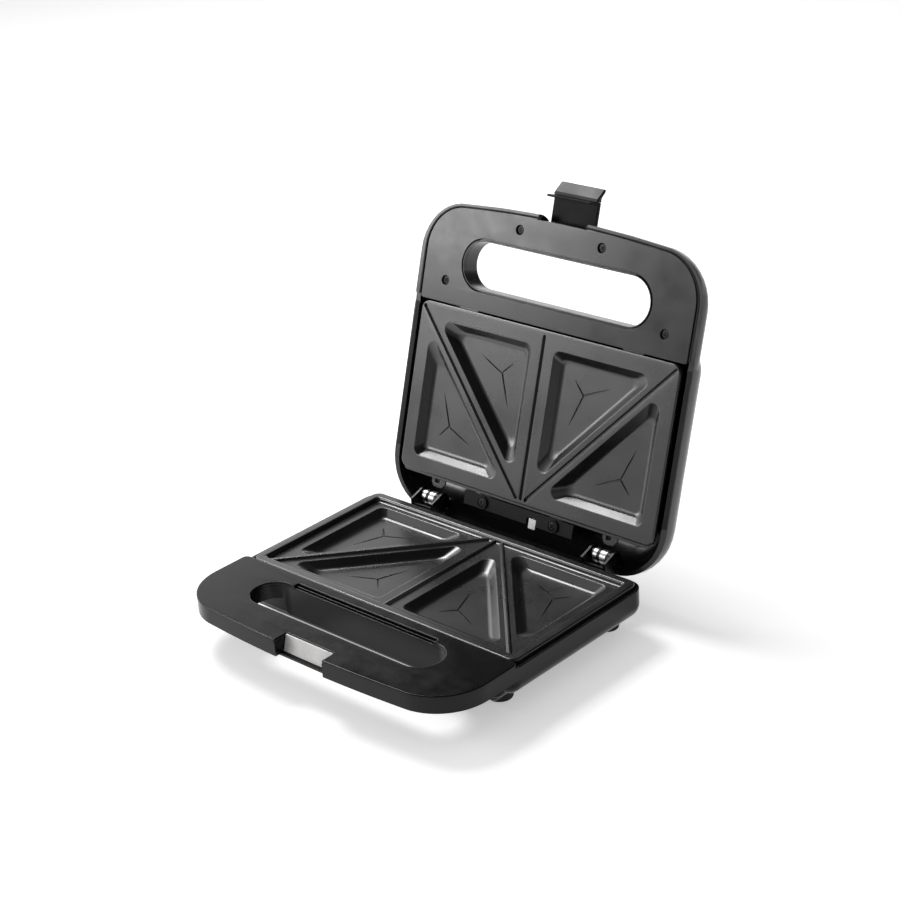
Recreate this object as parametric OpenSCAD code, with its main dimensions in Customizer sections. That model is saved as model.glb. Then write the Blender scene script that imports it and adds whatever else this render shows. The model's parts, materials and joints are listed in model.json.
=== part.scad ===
// Two-slice sandwich toaster with a hinged lid, millimetres.
// X runs across the body, -Y is the handle side, +Z is up.
// The frame's origin lies on the table, under the middle of the open appliance.
// Inside the modules, z = 0 is the top of the lower plate's rim.

/* [Housing] */
// Overall width of both housings
body_w = 230; // [205:1:260]
// How far the base handle reaches in front of the lower plate
base_handle_reach = 66.1; // [62:0.1:80]
// How far the lid handle reaches in front of the lower plate
lid_handle_reach = 70.6; // [64:0.1:82]
// Radius of the gentle bow of both front edges
bow_r = 1000; // [700:50:2000]
// How far the base reaches behind the lower plate
base_rear_reach = 2.6; // [2:0.1:5]
// How far the lid reaches behind the lower plate
lid_rear_reach = 23.6; // [23:0.1:30]
// Corner radius of the housings seen from above
corner_r = 35; // [26:1:42]
// Corner radius at the rear of the base
base_rear_r = 11; // [10:0.5:12]
// Wall thickness of the housings
wall = 2.4; // [1.8:0.1:3]
// Depth of the base below the plate rim
base_depth = 27.5; // [26:0.5:34]
// Depth of the base's sides below the plate rim
base_side_depth = 22; // [21:0.5:24]
// Depth of the base handle below the plate rim
base_handle_depth = 10.5; // [9.5:0.5:11]
// Depth of the sill under the latch notch below the plate rim
strike_depth = 11.5; // [11:0.5:14]
// Height of the lid's outer face above the plate rim
lid_height = 25; // [23:0.5:33]
// Height of the lid handle's outer face above the plate rim
lid_handle_height = 15; // [14.2:0.1:18]
// Bottom edge radius of the base's sides
base_edge_r = 10; // [6:1:11]
// Top edge radius of the lid
lid_edge_r = 20; // [12:1:21]
// Top edge radius of the lid handle
lid_handle_edge_r = 11; // [6:0.5:12]
// How far the deeper part of the housings reaches in front of the lower plate
zone_reach = 4.1; // [3.5:0.1:6]
// How far the front wall of the base's deeper part stands in front of that
zone_step = 9.2; // [8.5:0.1:9.5]
// Distance from the sides of the base to the belly that its feet stand on
belly_side = 12; // [11:0.5:13]
// Distance from the rear of the base to that belly
belly_rear = 2; // [1:0.5:2]
// Drop of the base side wall below the plate rim
base_wall_drop = 2.5; // [1.5:0.1:4]
// Height of the lid side wall's edge above the plate rim
lid_wall_lift = 2.7; // [2:0.1:4]

/* [Handles] */
// Height of the base handle's top face above the plate rim
base_face_z = 0.8; // [0:0.1:1]
// Height of the lid handle's inner face above the plate rim, lid closed
lid_face_z = 1.8; // [1.3:0.1:2.2]
// Thickness of the base handle panel
panel_t = 2.4; // [1.8:0.1:3]
// Thickness of the lid handle frame
frame_t = 2; // [1.6:0.1:2.4]
// Gap between the lid frame and the housing rim beside it
panel_gap = 1.1; // [0.5:0.1:1.6]
// Rim of the lid housing around its frame
lid_rim = 4.2; // [3:0.1:5]
// Gap between a handle panel's rear edge and its plate
panel_plate_gap = 1.6; // [1:0.1:3]
// Distance from the side of the base to its finger slot
base_slot_side = 38; // [34:0.5:50]
// Width of the base's finger slot
base_slot_w = 28.5; // [24:0.5:32]
// Distance from the front edge of the base to the middle of its finger slot
base_slot_in = 39.7; // [38:0.1:42]
// Distance from the side of the lid to its finger slot
lid_slot_side = 38.75; // [34:0.25:50]
// Width of the lid's finger slot
lid_slot_w = 31.5; // [26:0.5:34]
// Distance from the front edge of the lid to the middle of its finger slot
lid_slot_in = 40.6; // [38:0.1:42]
// How much shorter than the base's finger slot the step along its rear is
step_short = 36; // [30:1:80]
// Width of that step
step_w = 4.2; // [2:0.1:5]
// Depth of that step
step_depth = 3; // [1.5:0.1:4]

/* [Latch] */
// Width of the notch that the latch swings in
notch_w = 40; // [36:0.5:46]
// Depth of the notch in the base handle
notch_depth = 10.8; // [9:0.1:13]
// How far the sill under the notch reaches forward of the notch's back
sill_reach = 6.6; // [4:0.1:7]
// Thickness of that sill
sill_t = 1.5; // [1.2:0.1:2]
// Lean of the strike plate towards the front at its foot
strike_lean = 3.1; // [0:0.1:4]
// Thickness of the strike plate
strike_t = 0.8; // [0.5:0.1:1]
// Width of the latch
latch_w = 35.6; // [30:0.1:36]
// Thickness of the latch plate
latch_t = 3; // [2:0.1:3.4]
// Radius of the latch pin
latch_pin_r = 1.5; // [1.2:0.1:1.8]
// Height of the latch pin above the plate rim, lid closed
latch_pin_z = 7.1; // [7:0.1:7.8]
// Clearance between the latch plate and the lid frame's edge when latched
latch_clear = 0.7; // [0.4:0.1:1]
// Grip of the hook under the sill
hook_grip = 1; // [0.5:0.1:1.2]
// Thickness of the hook
hook_t = 1.5; // [1.2:0.1:2]
// Length of the finger tab beyond the hook
tab_len = 8.5; // [6:0.1:12]

/* [Plates] */
// Depth of the lower plate, front to back
lower_plate_d = 115.8; // [104:0.1:130]
// Distance from the side of the base to the lower plate
lower_plate_side = 4; // [3.5:0.5:8]
// Distance from the side of the lid to the upper plate
upper_plate_side = 8; // [7:0.5:12]
// How much shallower the upper plate is than the lower one, front to back
upper_plate_short = 1.3; // [1:0.1:4]
// Corner radius of the plates
plate_r = 6; // [3:0.5:10]
// Width of the raised rim around the lower plate
rim_w = 6.5; // [4:0.1:8]
// Height of the rim above the land that the bread lies on
rim_h = 3; // [2:0.1:4]
// Height of the upper plate's face above the lower rim, lid closed
upper_face_z = 1; // [0.5:0.1:2]
// Casting thickness of the plates
plate_t = 3; // [2.4:0.1:3.4]
// Depth of the triangular pockets
pocket_depth = 5; // [3:0.1:6]
// Distance from the side of the lower plate to the outer pockets
pocket_side_land = 15; // [14:0.5:24]
// Distance from the rear edge of the lower plate to the outer pockets
pocket_rear_land = 11.4; // [11:0.1:16]
// Distance from the front edge of the lower plate to the inner pockets
pocket_front_land = 11.9; // [11:0.1:16]
// Distance from the plate centre line to the inner pockets
pocket_mid_x = 10; // [7:0.1:13]
// Distance from a cutting ridge to the pockets on both sides of it
ridge_land = 5.5; // [4:0.1:8]
// Corner radius of the pockets
pocket_r = 5; // [3:0.5:7]
// Width of a cutting ridge
ridge_w = 2.4; // [1.6:0.1:3]
// Height of a cutting ridge
ridge_h = 1.6; // [1:0.1:2.4]
// Distance of the diagonal ridges from the side of the lower plate at the front
ridge_side = 6.4; // [5:0.1:20]
// Distance of the diagonal ridges from the centre line at the rear
ridge_rear_x = 3.2; // [2:0.1:8]
// Distance of the ridges' ends from the edge of the lower plate
ridge_end = 3.4; // [3:0.1:9]
// Width of the three-arm mark on a pocket's floor
mark_w = 0.9; // [0.5:0.1:1.5]
// Depth of the three-arm mark
mark_depth = 0.5; // [0.3:0.1:0.8]

/* [Heating] */
// Radius of the tubular heating elements
element_r = 3; // [2.5:0.1:3.3]
// Distance from the edge of the lower plate to the element's legs
element_edge = 27.9; // [24:0.1:34]
// Distance from the side of the lower plate to the ends of the element's legs
element_end = 49; // [45:1:60]
// Thickness of the heat shields
shield_t = 0.6; // [0.4:0.1:1]
// Distance from the side of the lower plate to the heat shields
shield_side = 18; // [16:0.5:30]
// Distance from the front and rear edges of the lower plate to the heat shields
shield_end = 11.9; // [10:0.1:18]

/* [Hinge] */
// Distance from the rear wall of the base to the hinge axis
hinge_back = 11.3; // [10.6:0.1:12]
// Height of the hinge axis above the plate rim
hinge_z = 0; // [-0.5:0.1:0.5]
// Opening angle of the lid
lid_open = 107.5; // [0:0.5:110]
// Distance from the side of the base to the middle of each hinge
hinge_side = 42; // [36:0.5:52]
// Gap between the two ears of a hinge bracket
ear_gap = 16; // [12:0.5:20]
// Thickness of the hinge steel
ear_t = 1.8; // [1.2:0.1:2.2]
// Outer radius of the ears
ear_r = 5.5; // [4.5:0.1:6]
// Radius of the hinge pins
pin_r = 2.5; // [2:0.1:3]
// Radial running clearance of the pins
pin_clear = 0.05; // [0.02:0.01:0.08]
// Side play of a moving part between two ears
side_play = 0.5; // [0.3:0.1:1]

/* [Feet and fasteners] */
// Height of the feet below the housing
foot_h = 6.5; // [4:0.5:10]
// Radius of the feet
foot_r = 8; // [6:0.5:10]
// Distance of the feet from the sides of the base
foot_side = 24; // [23:0.5:36]
// Distance of the feet from the front and rear edges of the lower plate
foot_end = 7.9; // [7:0.1:14]
// Radius of the screw shanks
screw_r = 1.5; // [1.2:0.1:1.8]
// Radius of the screw heads
head_r = 2.9; // [2.4:0.1:3.2]
// Thickness of the screw heads
head_t = 1; // [0.8:0.1:1.2]
// Radial clearance around screws and loose-fitting pieces
fit = 0.3; // [0.2:0.05:0.4]
// Radius of the mains cord's bore in its bushing
cord_r = 3.5; // [3:0.1:4]

/* [Hidden] */

// Derived sizes
half_w = body_w / 2;
lower_plate_w = body_w - 2 * lower_plate_side;
upper_plate_w = body_w - 2 * upper_plate_side;
upper_plate_d = lower_plate_d - upper_plate_short;
base_front = lower_plate_d / 2 + base_handle_reach;
lid_front = lower_plate_d / 2 + lid_handle_reach;
base_rear = lower_plate_d / 2 + base_rear_reach;
lid_rear = lower_plate_d / 2 + lid_rear_reach;
zone_y = lower_plate_d / 2 + zone_reach;
base_slot_len = body_w - 2 * base_slot_side;
base_slot_y = base_front - base_slot_in;
lid_slot_len = body_w - 2 * lid_slot_side;
lid_slot_y = lid_front - lid_slot_in;
step_len = base_slot_len - step_short;
pocket_side_x = lower_plate_w / 2 - pocket_side_land;
pocket_rear_y = lower_plate_d / 2 - pocket_rear_land;
pocket_front_y = lower_plate_d / 2 - pocket_front_land;
ridge_front_x = lower_plate_w / 2 - ridge_side;
ridge_reach_y = lower_plate_d / 2 - ridge_end;
element_leg_y = lower_plate_d / 2 - element_edge;
element_leg_x = lower_plate_w / 2 - element_end;
shield_w = lower_plate_w - 2 * shield_side;
shield_d = lower_plate_d - 2 * shield_end;
hinge_y = base_rear + hinge_back;
hinge_x = half_w - hinge_side;
foot_x = half_w - foot_side;
foot_y = lower_plate_d / 2 - foot_end;
rim_height = base_depth + foot_h;
land_z = -rim_h;
cut = 1;
eps = 0.01;
seat = 0.2;
fn_round = 48;
fn_hull = 40;
fn_screw = 24;

zone_front = zone_y + zone_step;
zone_half = half_w - 8;
belly_half = half_w - belly_side;
belly_front = zone_front - 3.2;
belly_back = base_rear - belly_rear;
belly_r = 5;
lid_roof_z = lid_height - wall;
lid_handle_roof_z = lid_handle_height - wall;

panel_rear = lower_plate_d / 2 + panel_plate_gap;
frame_half = half_w - lid_rim - panel_gap;
frame_front = lid_front - wall - seat;
frame_rear = upper_plate_d / 2 + panel_plate_gap + 1.2;

base_slot_front = base_slot_y + base_slot_w / 2;
base_slot_rear = base_slot_y - base_slot_w / 2;
notch_back = base_front - notch_depth;
sill_front = notch_back + sill_reach;
sill_z = -strike_depth + sill_t;

// The latch pin lies where the plate clears the frame's edge when it hangs down
latch_face_z = 2 * latch_pin_z - 2;
latch_offset = latch_face_z - latch_pin_z;
latch_pin_y = frame_front + latch_clear - latch_offset;
hook_drop = latch_pin_z + strike_depth + fit;
hook_reach = latch_pin_y - sill_front + hook_grip;
latch_bore_r = latch_pin_r + pin_clear;
knuckle_r = latch_pin_r + 1.3;

// How far the open latch reaches back, and the middle of the whole outline
tab_end_y = -latch_pin_y - hook_drop - hook_t - tab_len + 2.5;
tab_end_z = latch_face_z + latch_t + 1.2;
back_reach = hinge_y + (tab_end_y - hinge_y) * cos(lid_open)
    + (tab_end_z - hinge_z) * sin(lid_open);
origin_y = (back_reach - base_front) / 2;

plate_under_z = land_z - plate_t;
pocket_floor_z = land_z - pocket_depth;
pocket_under_z = pocket_floor_z - plate_t;
element_z = pocket_under_z - element_r - seat;
shield_z = element_z - element_r - 2;
upper_under_z = upper_face_z + plate_t;
upper_pocket_z = upper_face_z + pocket_depth;
upper_back_z = upper_pocket_z + plate_t;
upper_element_z = upper_back_z + element_r + seat;
upper_shield_z = upper_element_z + element_r + 1.2;

// Screw places, as distances in from the edges
post_in = 7;
plate_post_x = lower_plate_w / 2 - post_in;
plate_post_y = lower_plate_d / 2 - post_in;
front_screw_x = notch_w / 2 + 13.4;
panel_screws = [[front_screw_x, base_front - 6.5], [half_w - 19, base_slot_rear + 6]];
frame_screws = [[front_screw_x, lid_front - 12.6], [half_w - 24.8, lid_front - 55.5]];

knuckle_len = ear_gap - 2 * side_play;
knuckle_wall_r = pin_r + 1.9;
leaf_t = 2;
leaf_y = hinge_y + knuckle_wall_r - leaf_t;
leaf_top_z = 14.3;
leaf_screw_z = 11;
cover_half = hinge_x - 27;
cover_y = upper_plate_d / 2 + 6.5;
cover_d = 9;
cover_boss_x = cover_half - 16;
lens_x = 14;
lens_y = lid_rear - 41.5;
lens_r = 4;
lamp_r = 2.4;
cord_x = 29 - hinge_x;
cord_z = -16.5;
cord_boss_y = base_rear - 4.5 * wall;
bushing_r = cord_r + 3;

plastic = [0.1, 0.1, 0.105];
dark_plastic = [0.06, 0.06, 0.065];
coated = [0.2, 0.2, 0.205];
steel = [0.75, 0.75, 0.74];
zinc = [0.62, 0.62, 0.63];
rubber = [0.05, 0.05, 0.05];

// ---------------------------------------------------------------- helpers

// Puts a piece of the lid where the open lid carries it
module on_lid() {
    translate([0, hinge_y, hinge_z])
        rotate([-lid_open, 0, 0])
            translate([0, -hinge_y, -hinge_z])
                children();
}

module both_sides() {
    children();
    mirror([1, 0, 0]) children();
}

module placed() {
    translate([0, -origin_y, rim_height]) children();
}

// Outline with rounded corners between y0 and y1, r0 at y0 and r1 at y1
module plan(half, y0, y1, r0, r1) {
    difference() {
        translate([-half, y0]) square([2 * half, y1 - y0]);
        for (s = [-1, 1]) {
            corner_cut(s * half, y0, r0, s, -1);
            corner_cut(s * half, y1, r1, s, 1);
        }
    }
}

// How far an edge that bows with radius bow falls back at its corners of radius r
function bow_back(half, r, bow) = bow - r - sqrt(pow(bow - r, 2) - pow(half - r, 2));

// The same outline with its y0 edge bowed out in an arc of radius bow
module bowed_plan(half, y0, y1, r0, r1, bow) {
    back = bow_back(half, r0, bow);
    reach = half - r0 + 1;
    inside = y0 + back + r0;
    plan(half, y0 + back, y1, r0, r1);
    polygon(concat([[reach, inside], [-reach, inside]],
                   [for (i = [-5:5])
                       let (x = reach * i / 5) [x, y0 + bow - sqrt(bow * bow - x * x)]]));
}

// What a rounded corner of radius r takes off a square one at (x, y)
module corner_cut(x, y, r, sx, sy) {
    difference() {
        translate([x - sx * r / 2 + sx * cut / 2, y - sy * r / 2 + sy * cut / 2])
            square([r + cut, r + cut], center = true);
        translate([x - sx * r, y - sy * r]) circle(r, $fn = fn_round);
    }
}

// Slot with round ends along X
module slot_plan(len, w) {
    square([len - w, w], center = true);
    for (s = [-1, 1])
        translate([s * (len - w) / 2, 0]) circle(w / 2, $fn = fn_round);
}

module box(x0, x1, y0, y1, z0, z1) {
    translate([x0, y0, z0]) cube([x1 - x0, y1 - y0, z1 - z0]);
}

module rod_x(x0, x1, y, z, r) {
    translate([x0, y, z]) rotate([0, 90, 0]) cylinder(h = x1 - x0, r = r, $fn = fn_round);
}

module rod_y(x, y0, y1, z, r) {
    translate([x, y0, z]) rotate([-90, 0, 0]) cylinder(h = y1 - y0, r = r, $fn = fn_round);
}

module rod_z(x, y, z0, z1, r) {
    translate([x, y, z0]) cylinder(h = z1 - z0, r = r, $fn = fn_round);
}

// Screw along Z with its head's outer face at z, shank going towards dir
module screw_z(x, y, z, dir, shank) {
    translate([x, y, z]) mirror([0, 0, dir > 0 ? 0 : 1]) {
        difference() {
            cylinder(h = head_t, r = head_r, $fn = fn_screw);
            for (a = [0, 90])
                rotate([0, 0, a])
                    box(-head_r * 0.6, head_r * 0.6, -0.3, 0.3, -cut, head_t * 0.5);
        }
        translate([0, 0, head_t]) cylinder(h = shank, r = screw_r, $fn = fn_screw);
    }
}

// One rounded corner of a housing pan: a straight rim, then an edge radius
module pan_corner(sx, half, y, sy, r_plan, r_edge, z_open, z_turn, dir) {
    r_low = max(r_plan, r_edge);
    translate([sx * (half - r_plan), y - sy * r_plan, min(z_open, z_turn)])
        cylinder(h = abs(z_turn - z_open), r = r_plan, $fn = fn_hull);
    translate([sx * (half - r_low), y - sy * r_low, z_turn])
        rotate_extrude($fn = fn_hull)
            intersection() {
                translate([r_low - r_edge, 0]) circle(r_edge, $fn = fn_hull);
                translate([0, dir > 0 ? 0 : -r_edge]) square([r_low, r_edge]);
            }
}

// Pan between y0 and y1, open at z_open, with its floor at z_floor
module pan(half, y0, y1, r0, r1, r_edge, z_open, z_floor, bow = 0) {
    dir = z_floor > z_open ? 1 : -1;
    z_turn = z_floor - dir * r_edge;
    back = bow > 0 ? bow_back(half, r0, bow) : 0;
    hull() {
        for (sx = [-1, 1]) {
            pan_corner(sx, half, y0 + back, -1, r0, r_edge, z_open, z_turn, dir);
            pan_corner(sx, half, y1, 1, r1, r_edge, z_open, z_turn, dir);
        }
        if (bow > 0)
            for (i = [-2:2]) {
                x = i * (half - r0) / 3;
                pan_corner(1, x + r0, y0 + bow - sqrt(bow * bow - x * x), -1, r0, r_edge,
                           z_open, z_turn, dir);
            }
    }
}

// ---------------------------------------------------------------- pockets

// The diagonal ridge line's unit direction and normal (towards the side)
ridge_run = [ridge_rear_x - ridge_front_x, 2 * ridge_reach_y];
ridge_dir = ridge_run / norm(ridge_run);
ridge_normal = [ridge_dir[1], -ridge_dir[0]];
ridge_at = [ridge_front_x, -ridge_reach_y];

// X of the line beside the ridge at signed distance off, at height y
function beside_ridge_x(off, y) =
    ridge_at[0] + (off - ridge_normal[1] * (y - ridge_at[1])) / ridge_normal[0];
function beside_ridge_y(off, x) =
    ridge_at[1] + (off - ridge_normal[0] * (x - ridge_at[0])) / ridge_normal[1];

outer_pocket = [[pocket_side_x, beside_ridge_y(ridge_land, pocket_side_x)],
                [pocket_side_x, pocket_rear_y],
                [beside_ridge_x(ridge_land, pocket_rear_y), pocket_rear_y]];
inner_pocket = [[pocket_mid_x, -pocket_front_y],
                [beside_ridge_x(-ridge_land, -pocket_front_y), -pocket_front_y],
                [pocket_mid_x, beside_ridge_y(-ridge_land, pocket_mid_x)]];

function side_len(t, i) = norm(t[(i + 1) % 3] - t[(i + 2) % 3]);
function perimeter(t) = side_len(t, 0) + side_len(t, 1) + side_len(t, 2);
function incentre(t) =
    (side_len(t, 0) * t[0] + side_len(t, 1) * t[1] + side_len(t, 2) * t[2]) / perimeter(t);
function cross2(a, b) = a[0] * b[1] - a[1] * b[0];
function inradius(t) = abs(cross2(t[1] - t[0], t[2] - t[0])) / perimeter(t);

// Triangle t with its corners rounded to radius r, pulled in by inset
function rounded_triangle(t, r, inset, steps) =
    let (c = incentre(t), k = (inradius(t) - inset - r) / inradius(t))
    [for (i = [0:2])
        let (p = c + k * (t[i] - c),
             a = t[(i + 2) % 3] - t[i],
             b = t[(i + 1) % 3] - t[i],
             na = [a[1], -a[0]] / norm(a),
             nb = [-b[1], b[0]] / norm(b),
             sa = (na * (c - t[i]) > 0) ? -1 : 1,
             sb = (nb * (c - t[i]) > 0) ? -1 : 1,
             a0 = atan2(sa * na[1], sa * na[0]),
             a1 = atan2(sb * nb[1], sb * nb[0]),
             turn = (a1 - a0 + 540) % 360 - 180)
        for (j = [0:steps])
            p + r * [cos(a0 + turn * j / steps), sin(a0 + turn * j / steps)]];

pocket_steps = 5;
wall_steps = 4;
wall_run = 6;

// Depth fraction and inset of the curved pocket wall at step i
function wall_depth(i) = pocket_depth * sin(90 * i / wall_steps);
function wall_inset(i) = wall_run * (1 - cos(90 * i / wall_steps));

// The hollow of one pocket, opening at z = 0 and going down
module pocket_hollow(t) {
    c = incentre(t);
    full = inradius(t);
    translate([c[0], c[1], 0])
        mirror([0, 0, 1]) {
            for (i = [0:wall_steps - 1])
                translate([0, 0, wall_depth(i) - (i == 0 ? 0.5 : eps)])
                    linear_extrude(wall_depth(i + 1) - wall_depth(i) + (i == 0 ? 0.5 : eps),
                                   scale = (full - wall_inset(i + 1)) / (full - wall_inset(i)))
                        scale((full - wall_inset(i)) / full)
                            polygon([for (p = rounded_triangle(t, pocket_r, 0, pocket_steps)) p - c]);
            translate([0, 0, pocket_depth - eps])
                linear_extrude(mark_depth + eps)
                    for (v = t)
                        mark_arm(v - c);
        }
}

// One arm of the mark, from the pocket's middle towards a corner
module mark_arm(v) {
    len = norm(v) * 0.4;
    rotate([0, 0, atan2(v[1], v[0])])
        polygon([[-mark_w / 2, -mark_w / 2], [len * 0.8, -mark_w / 2], [len, 0],
                 [len * 0.8, mark_w / 2], [-mark_w / 2, mark_w / 2]]);
}

// The casting behind one pocket, from z = 0 down to its back
module pocket_back(t) {
    translate([0, 0, -pocket_depth - plate_t])
        linear_extrude(pocket_depth + plate_t)
            polygon(rounded_triangle(t, pocket_r, -1, pocket_steps));
}

module pockets() {
    both_sides() {
        pocket_hollow(outer_pocket);
        pocket_hollow(inner_pocket);
    }
}

module pocket_backs() {
    both_sides() {
        pocket_back(outer_pocket);
        pocket_back(inner_pocket);
    }
}

// Lines of the cutting ridges, w wide, between z0 and z1
module ridge_lines(w, z0, z1) {
    box(-w / 2, w / 2, -ridge_reach_y, ridge_reach_y, z0, z1);
    both_sides()
        translate([ridge_at[0], ridge_at[1], z0])
            rotate([0, 0, atan2(ridge_dir[1], ridge_dir[0])])
                translate([0, -w / 2, 0])
                    cube([norm(ridge_run), w, z1 - z0]);
}

// ---------------------------------------------------------------- base housing

// The base's body, pulled in by t all round: handle, sides, front of the deep part, belly
module base_body(t, top_z, side_top_z) {
    rear_r = t > 0 ? plate_r + 1 : base_rear_r;
    translate([0, 0, -base_handle_depth + t])
        linear_extrude(top_z + base_handle_depth - t)
            bowed_plan(half_w - t, -base_front + t, -zone_y + corner_r, corner_r - t, 2, bow_r - t);
    pan(half_w - t, -zone_y - base_edge_r / 2 + t, base_rear - t, base_edge_r - t,
        rear_r, base_edge_r - t, side_top_z, -base_side_depth + t);
    pan(zone_half - t, -zone_front + t, -zone_y + 2 * base_edge_r, 6 - t, 6 - t, 3 - t / 2,
        -base_handle_depth + t, -base_side_depth + t);
    pan(belly_half - t, -belly_front + t, belly_back - t, belly_r - t, belly_r - t,
        belly_r - t, -base_handle_depth, -base_depth + t);
}

module base_outer() {
    base_body(0, panel_under_z(), -base_wall_drop);
    rod_y(cord_x, cord_boss_y, base_rear, cord_z, bushing_r + wall);
    box(-notch_w / 2 - wall, notch_w / 2 + wall, -sill_front, -notch_back + wall,
        -strike_depth, panel_under_z());
}

module base_cavity() {
    base_body(wall, base_face_z + cut, base_face_z + cut);
}

module base_slot(grow, z0, z1) {
    translate([0, -base_slot_y, z0])
        linear_extrude(z1 - z0)
            slot_plan(base_slot_len + 2 * grow, base_slot_w + 2 * grow);
}

// Solid pieces left standing inside the base's cavity
module base_inside() {
    base_slot(wall, -base_depth, panel_under_z() - seat);
    box(-notch_w / 2 - wall, notch_w / 2 + wall, -base_front, -notch_back + wall,
        -strike_depth, panel_under_z() - seat);
    both_sides() {
        for (p = panel_screws)
            rod_z(p[0], -p[1], -base_depth, panel_under_z() - seat, head_r + 1.2);
        for (s = [-1, 1])
            rod_z(plate_post_x, s * plate_post_y, -base_depth, plate_seat_z(), head_r + 0.8);
        box(hinge_x - ear_gap / 2, hinge_x + ear_gap / 2, base_rear - 3 * wall, base_rear,
            -15, plate_under_z - seat);
        for (s = [-1, 1])
            box(shield_w / 2 - 14, shield_w / 2 - 10, s * 20 - 2, s * 20 + 2,
                -base_depth, shield_z - shield_t - seat);
    }
    box(-20, 20, 12, 34, -base_depth, terminal_z() - seat);
    box(cord_x - bushing_r - wall, cord_x + bushing_r + wall, cord_boss_y, base_rear,
        cord_z - bushing_r - wall, plate_under_z - seat);
}

function panel_under_z() = base_face_z - panel_t;
function plate_seat_z() = -16;
function terminal_z() = -24;

// Notch for the latch, leaving the sill at its foot
module base_notch() {
    box(-notch_w / 2, notch_w / 2, -base_front - cut, -sill_front, -base_depth, 5);
    box(-notch_w / 2, notch_w / 2, -base_front - cut, -notch_back, sill_z, 5);
}

module lower_shell() {
    color(plastic)
        difference() {
            base_outer();
            difference() {
                base_cavity();
                base_inside();
            }
            base_slot(0, -base_depth - cut, base_face_z + cut);
            base_notch();
            box(-half_w - cut, half_w + cut, -zone_y + 3, base_rear + cut,
                -base_wall_drop, base_face_z + cut);
            both_sides() {
                for (p = panel_screws) {
                    rod_z(p[0], -p[1], -base_depth, base_face_z, screw_r + fit);
                    rod_z(p[0], -p[1], -base_depth, -base_handle_depth + 2, head_r + fit);
                }
                for (s = [-1, 1]) {
                    rod_z(plate_post_x, s * plate_post_y, -base_depth, 0, screw_r + fit);
                    rod_z(plate_post_x, s * plate_post_y, -base_depth - cut,
                          plate_seat_z() - 3, head_r + fit);
                    rod_z(foot_x, s * foot_y, -base_depth - cut, -base_depth + foot_sink(),
                          foot_r + fit);
                }
                rod_y(hinge_x, base_rear - 3 * wall - cut, base_rear + cut, bracket_screw_z(),
                      screw_r + eps);
            }
            rod_y(cord_x, cord_boss_y - cut, base_rear + cut, cord_z, bushing_r - 1.4);
        }
}

function foot_sink() = 1.2;
function bracket_screw_z() = -8;

module lower_handle_panel() {
    color(plastic)
        difference() {
            translate([0, 0, panel_under_z()])
                linear_extrude(panel_t)
                    bowed_plan(half_w, -base_front, -panel_rear, corner_r, 4, bow_r);
            base_slot(0, panel_under_z() - cut, base_face_z + cut);
            box(-notch_w / 2, notch_w / 2, -base_front - cut, -notch_back, -base_depth, 5);
            box(-step_len / 2, step_len / 2, -base_slot_rear - cut, -base_slot_rear + step_w,
                base_face_z - step_depth, base_face_z + cut);
            both_sides()
                for (p = panel_screws)
                    rod_z(p[0], -p[1], panel_under_z() - cut, base_face_z - 0.8, screw_r);
        }
}

// Bent steel sheet that leans forward at its foot
module strike_plate() {
    drop = base_face_z - sill_z - 2 * fit;
    color(steel)
        translate([-notch_w / 2 + fit, -notch_back, 0])
            rotate([90, 0, 90])
                linear_extrude(notch_w - 2 * fit)
                    polygon([[-fit, base_face_z - fit], [-fit - strike_t, base_face_z - fit],
                             [-fit - strike_t - strike_lean, base_face_z - fit - drop],
                             [-fit, base_face_z - fit - drop]]);
}

module foot(sx, sy) {
    color(rubber)
        translate([sx * foot_x, sy * foot_y, -base_depth - foot_h]) {
            cylinder(h = 1, r1 = foot_r - 1, r2 = foot_r, $fn = fn_round);
            translate([0, 0, 1])
                cylinder(h = foot_h - 1 + foot_sink() - seat, r = foot_r, $fn = fn_round);
        }
}

module bottom_screws() {
    color(zinc)
        both_sides()
            for (p = panel_screws)
                screw_z(p[0], -p[1], -base_handle_depth + 2 - head_t, 1,
                        base_handle_depth - 2 + base_face_z - 1);
}

module lower_plate_screws() {
    color(zinc)
        both_sides()
            for (s = [-1, 1])
                screw_z(plate_post_x, s * plate_post_y, plate_seat_z() - 3 - head_t, 1, 8);
}

// ---------------------------------------------------------------- lower plate

module lower_plate() {
    color(coated)
        difference() {
            union() {
                translate([0, 0, plate_under_z])
                    linear_extrude(-plate_under_z)
                        plan(lower_plate_w / 2, -lower_plate_d / 2, lower_plate_d / 2,
                             plate_r, plate_r);
                translate([0, 0, land_z]) pocket_backs();
                both_sides()
                    for (s = [-1, 1])
                        rod_z(plate_post_x, s * plate_post_y, plate_seat_z() + seat,
                              plate_under_z, 3.4);
            }
            difference() {
                translate([0, 0, land_z])
                    linear_extrude(rim_h + cut)
                        plan(lower_plate_w / 2 - rim_w, -lower_plate_d / 2 + rim_w,
                             lower_plate_d / 2 - rim_w, 3, 3);
                ridge_lines(ridge_w, land_z - cut, land_z + ridge_h);
            }
            translate([0, 0, land_z]) pockets();
            both_sides()
                for (s = [-1, 1])
                    rod_z(plate_post_x, s * plate_post_y, plate_seat_z(), plate_under_z - 1,
                          screw_r);
        }
}

// Hairpin heater in the plane z, its terminals at the left end
module element(z) {
    for (s = [-1, 1]) {
        rod_x(-element_leg_x, element_leg_x, s * element_leg_y, z, element_r);
        rod_x(-element_leg_x - 12, -element_leg_x, s * element_leg_y, z, 1.35);
    }
    translate([element_leg_x, 0, z])
        rotate([0, 0, -90])
            rotate_extrude(angle = 180, $fn = fn_round)
                translate([element_leg_y, 0]) circle(element_r, $fn = fn_round);
}

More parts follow.
